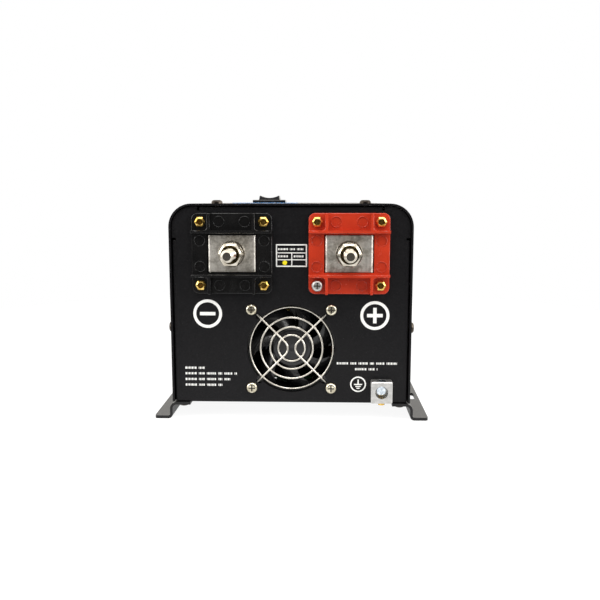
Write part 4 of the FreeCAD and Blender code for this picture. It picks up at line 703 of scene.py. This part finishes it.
def ejector_rings():
    """The raised witness rings that the mould's ejector pins leave on both blocks."""
    outer, inner, pin_radius, root = (24.8, 24.4), 10, 3.8, -0.05
    spots = [(x * outer[0], y * inner) for x, y in CORNERS]
    spots += [(x * inner, y * outer[1]) for x, y in CORNERS]
    half = RING_WIDTH / 2
    rim = pin_radius + half
    profile = [(rim + half * math.cos(a), half * math.sin(a)) for a in (math.pi * k / 6 for k in range(7))]
    profile += [(rim - half, root), (rim + half, root)]
    for name, slot in (("negative", "black_moulding"), ("positive", "red_moulding")):
        centre = middle(name + "_contact_plate")
        face = facing((centre.x, panel_low.y - BLOCK_FLOOR * MM, centre.z), (0, -1, 0))
        bm = bmesh.new()
        for u, v in spots:
            turned(bm, profile, face @ Matrix.Translation((u, v, 0)), 40, False)
        add_piece(name + "_block_ejector_rings", bm, finishes[slot], "case")


def threaded_stud(name):
    """An M10 stud: rolled thread, chamfered tip and the hexagon head behind the bus strap."""
    low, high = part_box(name + "_stud")
    place = face_frame(name + "_stud", -1)
    length = (high.y - low.y) / MM
    head, half_flat = 6.4, 8
    crest, depth, pitch, flank, flat = 4.88, 0.5, 1.25, 1.25, 0.12
    tip, chamfer = 3.1, 1.9
    around, rows_a_turn = 36, 8
    loops = []
    rows = int((length - head) / pitch * rows_a_turn)
    for row in range(rows + 1):
        level = -(length - head) * (1 - row / rows)
        limit = tip + (crest - tip) * min(1.0, -level / chamfer)
        loop = []
        for k in range(around):
            phase = (level / pitch - k / around) % 1
            cut = min(1.0, max(0.0, flank * (1 - abs(2 * phase - 1)) - flat))
            radius = min(limit, crest - depth * cut)
            angle = 2 * math.pi * k / around
            loop.append((radius * math.cos(angle), radius * math.sin(angle), level))
        loops.append(loop)
    bm = bmesh.new()
    skin(bm, loops, place)
    corner = half_flat / math.cos(math.pi / 6)
    turned(bm, [(corner, -length), (corner, -length + head)], place, 6)
    add_piece(name + "_threaded_stud", bm, finishes["polished_nickel"], "case", 30,
              (name + "_stud",))


def hexagonal(bm, half_flat, profile_at, place, capped):
    """Like turned, but the profile at each angle follows from the distance to the hexagon's side."""
    steps = 72
    columns = []
    for k in range(steps):
        angle = 2 * math.pi * k / steps
        side = half_flat / math.cos(angle % (math.pi / 3) - math.pi / 6)
        columns.append([(radius * math.cos(angle), radius * math.sin(angle), level)
                        for radius, level in profile_at(side)])
    skin(bm, list(zip(*columns)), place, capped)


def stud_hex_nuts():
    """Both stud nuts, hexagons with a wide chamfer and a countersunk bore, and a dark cone of painted shade
    over each countersink.
    """
    low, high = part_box("stud_nuts")
    depth = (high.y - low.y) / MM
    bore, rim, lip, slope = 5.0, 6.9, 7.2, 0.577
    sink, shade_low, countersink_top, wall = 1.9, -1.88, -0.3, 0.1
    places = []
    for name in ("negative_stud", "positive_stud"):
        centre = middle(name)
        places.append(facing((centre.x, low.y, centre.z), (0, -1, 0)))

    def profile_at(side):
        fall = (side - lip) * slope
        return [(bore, -depth), (bore, -sink), (rim, countersink_top), (lip, 0), ((lip + side) / 2, -fall / 2),
                (side, -fall), (side, -depth / 2), (side, fall - depth), (lip, -depth)]

    bm = bmesh.new()
    for place in places:
        hexagonal(bm, (high.z - low.z) / MM / 2, profile_at, place, False)
    add_piece("stud_hex_nuts", bm, finishes["polished_nickel"], "case", 25,
              ("stud_nuts",))
    # Painted shade: a thin dark cone over each countersink, where shade falls between stud and nut.
    bm = bmesh.new()
    edge = rim - 0.02
    profile = [(bore, shade_low), (edge, countersink_top), (edge, countersink_top + wall), (bore, shade_low + wall)]
    for place in places:
        turned(bm, profile, place, 72, False)
    add_piece("stud_nut_countersinks", bm, finishes["countersink_shade"], "case")


def screw_recesses():
    """Painted shade: dark crosses set in the bottoms of the cross recesses of the bright screws, where shade
    falls.
    """
    arm, half, high, low = 2.58, 0.48, -0.55, -1.48
    quarter = [(arm, -half), (arm, half), (half, half)]
    cross = []
    for turn in range(4):
        for u, v in quarter:
            for _ in range(turn):
                u, v = -v, u
            cross.append((u, v))
    spots = []
    screws_low, screws_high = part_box("fan_screws")
    for end, face, direction in (("front", screws_low.y, -1), ("rear", screws_high.y, 1)):
        centre = middle(end + "_fan_guard")
        reach = FAN_SCREW_PITCH / 2 * MM
        for x, z in CORNERS:
            spots.append(((centre.x + x * reach, face, centre.z + z * reach), direction))
    centre = middle("terminal_screw")
    spots.append(((centre.x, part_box("terminal_screw")[0].y, centre.z), -1))
    bm = bmesh.new()
    for spot, direction in spots:
        prism(bm, cross, low, high, facing(spot, (0, direction, 0)))
    # Painted shade: the dark crosses stand in for the shade at the bottoms of the recesses.
    add_piece("screw_recess_shade", bm, finishes["recess_shade"], "case")


def threaded_inserts():
    """The eight brass bushes: a rounded hexagon collar, a countersunk bore and a barrel."""
    low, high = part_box("terminal_inserts")
    half_flat, bore, barrel, collar, lip = 3.75, 1.65, 3.1, 2.0, 2.45
    depth = (high.y - low.y) / MM
    spacing = (high.z - low.z) / MM / 2 - half_flat

    def profile_at(side):
        fall = (side - lip) * 0.55
        return [(bore, 1 - depth), (bore, -0.75), (lip - 0.2, -0.05), (lip, 0),
                (lip + (side - lip) * 0.45, -fall * 0.3), (side - 0.15, -fall), (side, -fall - 0.2),
                (side, -collar), (barrel, -collar), (barrel, -depth)]

    bm = bmesh.new()
    for name in ("negative_contact_plate", "positive_contact_plate"):
        centre = middle(name)
        for x, z in CORNERS:
            spot = (centre.x + x * spacing * MM, low.y, centre.z + z * spacing * MM)
            hexagonal(bm, half_flat, profile_at, facing(spot, (0, -1, 0)), True)
    add_piece("threaded_inserts", bm, finishes["brass"], "case", 30, ("terminal_inserts",))


# ---------------------------------------------------------------- fans

def fan_rotor(end, direction):
    """The moulded rotor: a cup-shaped hub, seven swept and cambered blades, and the axle."""
    node = end + "_fan_rotor"
    low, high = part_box(node)
    place = face_frame(node, direction)
    hub, depth, edge, axle, length = 15.6, 17.0, 1.8, 1.5, (high.y - low.y) / MM
    profile = [(axle, -length), (axle, -depth), (hub, -depth)]
    for k in range(7):
        angle = math.pi / 2 * k / 6
        profile.append((hub - edge * (1 - math.cos(angle)), -edge * (1 - math.sin(angle))))
    profile += [(12.2, 0), (12.0, -0.35), (11.4, -0.35), (11.2, 0), (3.2, 0), (2.9, -0.5), (0.4, -0.6)]
    bm = bmesh.new()
    turned(bm, profile, place, 64)
    for index in range(BLADE_COUNT):
        fan_blade(bm, place, 2 * math.pi * index / BLADE_COUNT, hub, (BLADE_LOW + BLADE_HIGH) / 2)
    add_piece(end + "_moulded_rotor", bm, finishes["fan_blades"], end + "_rotor", 40,
              (node,))


def fan_blade(bm, place, start, hub, level):
    """One blade as a loft of thin cambered sections, each bent round the axle."""
    stations, steps, wall, edge, camber, setback = 8, 10, 1.2, 0.15, 1.9, 0.8
    root_pitch, pitch_fall, root_chord, chord_growth, sweep = 42, 12, 16.5, 6.5, 0.42
    loops = []
    for station in range(stations + 1):
        share = station / stations
        radius = hub - 1 + share * (BLADE_REACH - hub + 1)
        pitch = math.radians(root_pitch - pitch_fall * share)
        chord = root_chord + chord_growth * share
        lean = sweep * share ** 1.6
        upper, lower = [], []
        for step in range(steps + 1):
            s = step / steps - 0.5
            thick = wall * math.sqrt(max(0.0, 1 - (2 * s) ** 4)) + edge
            arch = camber * (1 - 4 * s * s)
            for side, row in ((0.5, upper), (-0.5, lower)):
                across = arch + side * thick
                around = s * chord * math.cos(pitch) - across * math.sin(pitch)
                height = s * chord * math.sin(pitch) + across * math.cos(pitch)
                turn = start + lean + around / radius
                row.append((radius * math.cos(turn), radius * math.sin(turn),
                            min(BLADE_HIGH, max(BLADE_LOW, level - setback + height))))
        loops.append(upper + lower[::-1])
    skin(bm, loops, place)


# ---------------------------------------------------------------- top

def rocker_marks():
    """The on and off marks, moulded to follow the rocker's dish."""
    rocker = frame["nodes"]["power_switch_rocker"]
    mesh = rocker.data
    tree = BVHTree.FromPolygons([vertex.co for vertex in mesh.vertices],
                                [polygon.vertices for polygon in mesh.polygons])
    low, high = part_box("power_switch_rocker")
    centre = (low + high) / 2
    world = Matrix.Scale(MM, 4)
    bm = bmesh.new()
    u, v = centre.x / MM, centre.y / MM
    reach, bar_width, bar_length, ring, stroke = 5.6, 0.9, 4.4, 2.2, 0.7
    prism(bm, rounded(u - reach, v, bar_width, bar_length), 0, 1, world)
    flat_ring(bm, u + reach, v, ring, stroke, 0, 1, world, 40)
    for vertex in bm.verts:
        lift = PRINT_HIGH if vertex.co.z > 0.5 * MM else PRINT_LOW
        hit = tree.ray_cast(Vector((vertex.co.x, vertex.co.y, high.z + 0.01)), Vector((0, 0, -1)))[0]
        vertex.co.z = hit.z + lift * MM
    add_piece("rocker_marks", bm, white_ink, "rocker")


def overlay_prints():
    """The film's printing: a hairline border, a ring at each lamp and plain bars beside them."""
    low, high = overlay_low / MM, overlay_high / MM
    centre = (low + high) / 2
    bm = bmesh.new()
    border, stroke, inset = 3.0, 0.45, 2.2
    width, length = high.x - low.x - 2 * inset, high.y - low.y - 2 * inset
    for side in SIDES:
        ink(bm, rounded(centre.x, centre.y + side * (length - stroke) / 2, width - 2 * border, stroke),
            TOP_FACE)
        ink(bm, rounded(centre.x + side * (width - stroke) / 2, centre.y, stroke, length - 2 * border),
            TOP_FACE)
    for x, y in CORNERS:
        corner_arc(bm, centre.x + x * (width / 2 - border), centre.y + y * (length / 2 - border),
                   math.atan2(y, x), border, stroke)
    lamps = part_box("status_lights")
    lamp_y = (lamps[0].y + lamps[1].y) / 2 / MM
    ring, ring_stroke, caption, caption_drop, caption_height = 2.9, 0.35, 7.0, 5.2, 1.1
    for step in (-1, 0, 1):
        u = (lamps[0].x + lamps[1].x) / 2 / MM + step * LAMP_PITCH
        ink_ring(bm, u, lamp_y, ring, ring_stroke, TOP_FACE)
        plain_line(bm, u - caption / 2, lamp_y - caption_drop, caption, caption_height, TOP_FACE)
    note_height = 1.2
    for level, length in ((-24, 44), (-28, 34), (-70, 24), (-74, 38), (-78, 30)):
        plain_line(bm, centre.x - length / 2, level, length, note_height, TOP_FACE)
    add_piece("overlay_prints", bm, white_ink, "case")


def corner_arc(bm, u, v, toward, radius, stroke):
    """A quarter of a flat ring round a corner of the border."""
    steps = 8
    arc = [toward + math.pi / 2 * (k / steps - 0.5) for k in range(steps + 1)]
    outline = [(u + radius * math.cos(a), v + radius * math.sin(a)) for a in arc]
    outline += [(u + (radius - stroke) * math.cos(a), v + (radius - stroke) * math.sin(a))
                for a in reversed(arc)]
    ink(bm, outline, TOP_FACE)


# ---------------------------------------------------------------- mains end

def mains_prints():
    """The selector's dial with its figures, and plain bars under the fittings."""
    bm = bmesh.new()
    knob = middle("battery_selector_knob") / MM
    u, v = -knob.x, knob.z
    figure_reach, figure_size, tick_reach, tick_width, tick_length = 18.2, 3.6, 14.8, 0.45, 1.5
    text, gland_drops = 1.7, (19, 22.6)
    for figure in range(DIAL_FIGURES):
        angle = 2 * math.pi * figure / DIAL_FIGURES
        spot = (u + figure_reach * math.sin(angle), v + figure_reach * math.cos(angle))
        digit(bm, str(figure), *spot, figure_size, MAINS_FACE)
        tick = MAINS_FACE @ Matrix.Translation((u, v, 0)) @ Matrix.Rotation(-angle, 4, "Z")
        ink(bm, rounded(0, tick_reach, tick_width, tick_length), tick)
    for name, drop, length in (("input_breaker", 12.5, 17), ("output_breaker", 12.5, 19),
                               ("remote_port", 12.0, 18), ("battery_selector_knob", 25.0, 26)):
        spot = middle(name) / MM
        plain_line(bm, -spot.x - length / 2, spot.z - drop, length, text, MAINS_FACE)
    for name, length in (("input_cable_gland", 24), ("output_cable_gland", 26)):
        spot = middle(name) / MM
        plain_line(bm, -spot.x - length / 2, spot.z - gland_drops[0], length, text, MAINS_FACE)
        plain_line(bm, -spot.x - length / 3, spot.z - gland_drops[1], length * 2 / 3, text, MAINS_FACE)
    add_piece("mains_panel_prints", bm, white_ink, "case")


def knob_pointer():
    """The white line inlaid along the grip, pointing at the dial."""
    reach, width, length, corner, root, proud = 6.6, 1.2, 9.6, 0.4, -0.25, 0.02
    bm = bmesh.new()
    prism(bm, rounded(0, reach, width, length, corner), root, proud, face_frame("battery_selector_knob", 1))
    add_piece("knob_pointer", bm, white_ink, "selector_knob")


def gland_grip(end):
    """Grip ribs round the dome nut and the slotted rubber seal in its mouth."""
    place = face_frame(end + "_cable_gland", 1)
    bm = bmesh.new()
    ribs, dome, rib_low, rib_high = 18, 11.2, -22, -5.2
    for index in range(ribs):
        turn = place @ Matrix.Rotation(2 * math.pi * index / ribs, 4, "Z")
        outline = [(dome - 0.3, -0.9), (dome + 0.35, -0.55), (dome + 0.35, 0.55), (dome - 0.3, 0.9)]
        prism(bm, outline, rib_low, rib_high, turn)
    add_piece(end + "_gland_ribs", bm, finishes["gland_nylon"], "case")
    bm = bmesh.new()
    outer, mouth, bottom, lip, top = 5.98, 4.9, -9, 0.2, -0.5
    profile = [(outer, bottom), (mouth, bottom), (mouth - lip, -1.2), (mouth + lip, top), (outer, top)]
    turned(bm, profile, place, 40, False)
    add_piece(end + "_gland_seal", bm, finishes["pad_rubber"], "case")


def port_contacts():
    """Eight spring contacts across the jack's mouth."""
    pitch, width, wall = 1.02, 0.4, 0.3
    path = [(4.25, -12.5), (4.0, -11), (3.0, -7), (2.2, -3.5)]
    place = face_frame("remote_port", 1)
    bm = bmesh.new()
    for index in range(PORT_CONTACTS):
        u = (index - (PORT_CONTACTS - 1) / 2) * pitch
        loops = []
        for across, level in path:
            loops.append([(*point, level) for point in rounded(u, across, width, wall)])
        skin(bm, loops, place)
    add_piece("remote_port_contacts", bm, finishes["brass"], "case")


def rear_foam():
    """A dark rubber strip under the cover that closes the bend reliefs of the mains panel: painted shade, a
    dark sheet set behind the reliefs so that they read dark.
    """
    gap, width, height, corner, inner, outer = 0.02, 150, 8, 1.0, -17.5, -14.2
    top = (cover_high.z - COVER_WALL * MM) / MM - gap
    bm = bmesh.new()
    place = facing((0, mains_high.y, 0), (0, 1, 0))
    prism(bm, rounded(0, top - height / 2, width, height, corner), inner, outer, place)
    add_piece("rear_relief_shade_strip", bm, finishes["pad_rubber"], "case")


battery_prints()
ejector_rings()
threaded_stud("negative")
threaded_stud("positive")
stud_hex_nuts()
threaded_inserts()
screw_recesses()
fan_rotor("front", -1)
fan_rotor("rear", 1)
rocker_marks()
overlay_prints()
mains_prints()
knob_pointer()
gland_grip("input")
gland_grip("output")
port_contacts()
rear_foam()


# ---------------------------------------------------------------- stage and light

# Metres, and the strengths of the studio's light.
FLOOR_SOLID, FLOOR_RIM = 0.42, 0.62      # the floor fades from one radius to the other
STUDIO_FRONT, STUDIO_BACK = 0.10, 2.0
AIM = (0, -0.15, 0.09)


def make_stage():
    """A pale, softly glowing sheet such as a light table, which keeps the shadows faint.

    Its rim fades into the white backdrop.
    """
    bm = bmesh.new()
    bmesh.ops.create_grid(bm, x_segments=2, y_segments=2, size=FLOOR_RIM)
    mesh = bpy.data.meshes.new("floor")
    bm.to_mesh(mesh)
    bm.free()
    floor = bpy.data.objects.new("floor", mesh)
    bpy.context.scene.collection.objects.link(floor)
    paper = Finish("floor_paper", Roughness=0.9, Specular_IOR_Level=0.0,
                   Emission_Color=(1, 1, 1, 1), Emission_Strength=0.92)
    paper.colour(paper.blend(paper.noise(3, 2.0), (0.15, 0.15, 0.15), (0.17, 0.17, 0.17)))
    away = paper.add("ShaderNodeVectorMath", operation="LENGTH")
    paper.feed(paper.where, away.inputs[0])
    gone = paper.spread(away.outputs["Value"], FLOOR_SOLID, FLOOR_RIM)
    paper.feed(paper.calculate("SUBTRACT", 1.0, gone), paper.shader.inputs["Alpha"])
    mesh.materials.append(paper.material)


def soft_box(name, location, target, size, power):
    """A rectangular lamp that the camera doesn't see."""
    light = bpy.data.lights.new(name, "AREA")
    light.shape = "RECTANGLE"
    light.size, light.size_y = size
    light.energy = power
    lamp = bpy.data.objects.new(name, light)
    lamp.location = location
    lamp.rotation_euler = (Vector(target) - Vector(location)).to_track_quat("-Z", "Y").to_euler()
    lamp.visible_camera = False
    bpy.context.scene.collection.objects.link(lamp)


def make_world():
    """White to the camera; as light, a studio that is bright behind and above and dim in front."""
    world = bpy.data.worlds.new("studio")
    bpy.context.scene.world = world
    world.use_nodes = True
    tree = world.node_tree
    tree.nodes.clear()
    direction = tree.nodes.new("ShaderNodeTexCoord").outputs["Generated"]
    toward = tree.nodes.new("ShaderNodeVectorMath")
    toward.operation = "DOT_PRODUCT"
    toward.inputs[1].default_value = (0, 1, 0.8)
    tree.links.new(direction, toward.inputs[0])
    glow = tree.nodes.new("ShaderNodeMapRange")
    glow.interpolation_type = "SMOOTHSTEP"
    for name, value in (("From Min", -0.75), ("From Max", 0.45), ("To Min", STUDIO_FRONT),
                        ("To Max", STUDIO_BACK)):
        glow.inputs[name].default_value = value
    tree.links.new(toward.outputs["Value"], glow.inputs["Value"])
    path = tree.nodes.new("ShaderNodeLightPath")
    fill = tree.nodes.new("ShaderNodeBackground")
    fill.inputs["Color"].default_value = (1.0, 0.97, 0.92, 1)
    tree.links.new(glow.outputs["Result"], fill.inputs["Strength"])
    seen = tree.nodes.new("ShaderNodeBackground")
    seen.inputs["Color"].default_value = (1, 1, 1, 1)
    pick = tree.nodes.new("ShaderNodeMixShader")
    out = tree.nodes.new("ShaderNodeOutputWorld")
    tree.links.new(path.outputs["Is Camera Ray"], pick.inputs[0])
    tree.links.new(fill.outputs[0], pick.inputs[1])
    tree.links.new(seen.outputs[0], pick.inputs[2])
    tree.links.new(pick.outputs[0], out.inputs[0])


make_stage()
make_world()
soft_box("top_box", (0, -0.65, 1.15), AIM, (1.0, 0.45), 8)
soft_box("left_box", (-1.0, -0.6, 0.5), AIM, (0.7, 0.7), 8)
soft_box("right_box", (1.0, -0.6, 0.5), AIM, (0.7, 0.7), 10)
bpy.context.scene.view_settings.view_transform = "Standard"
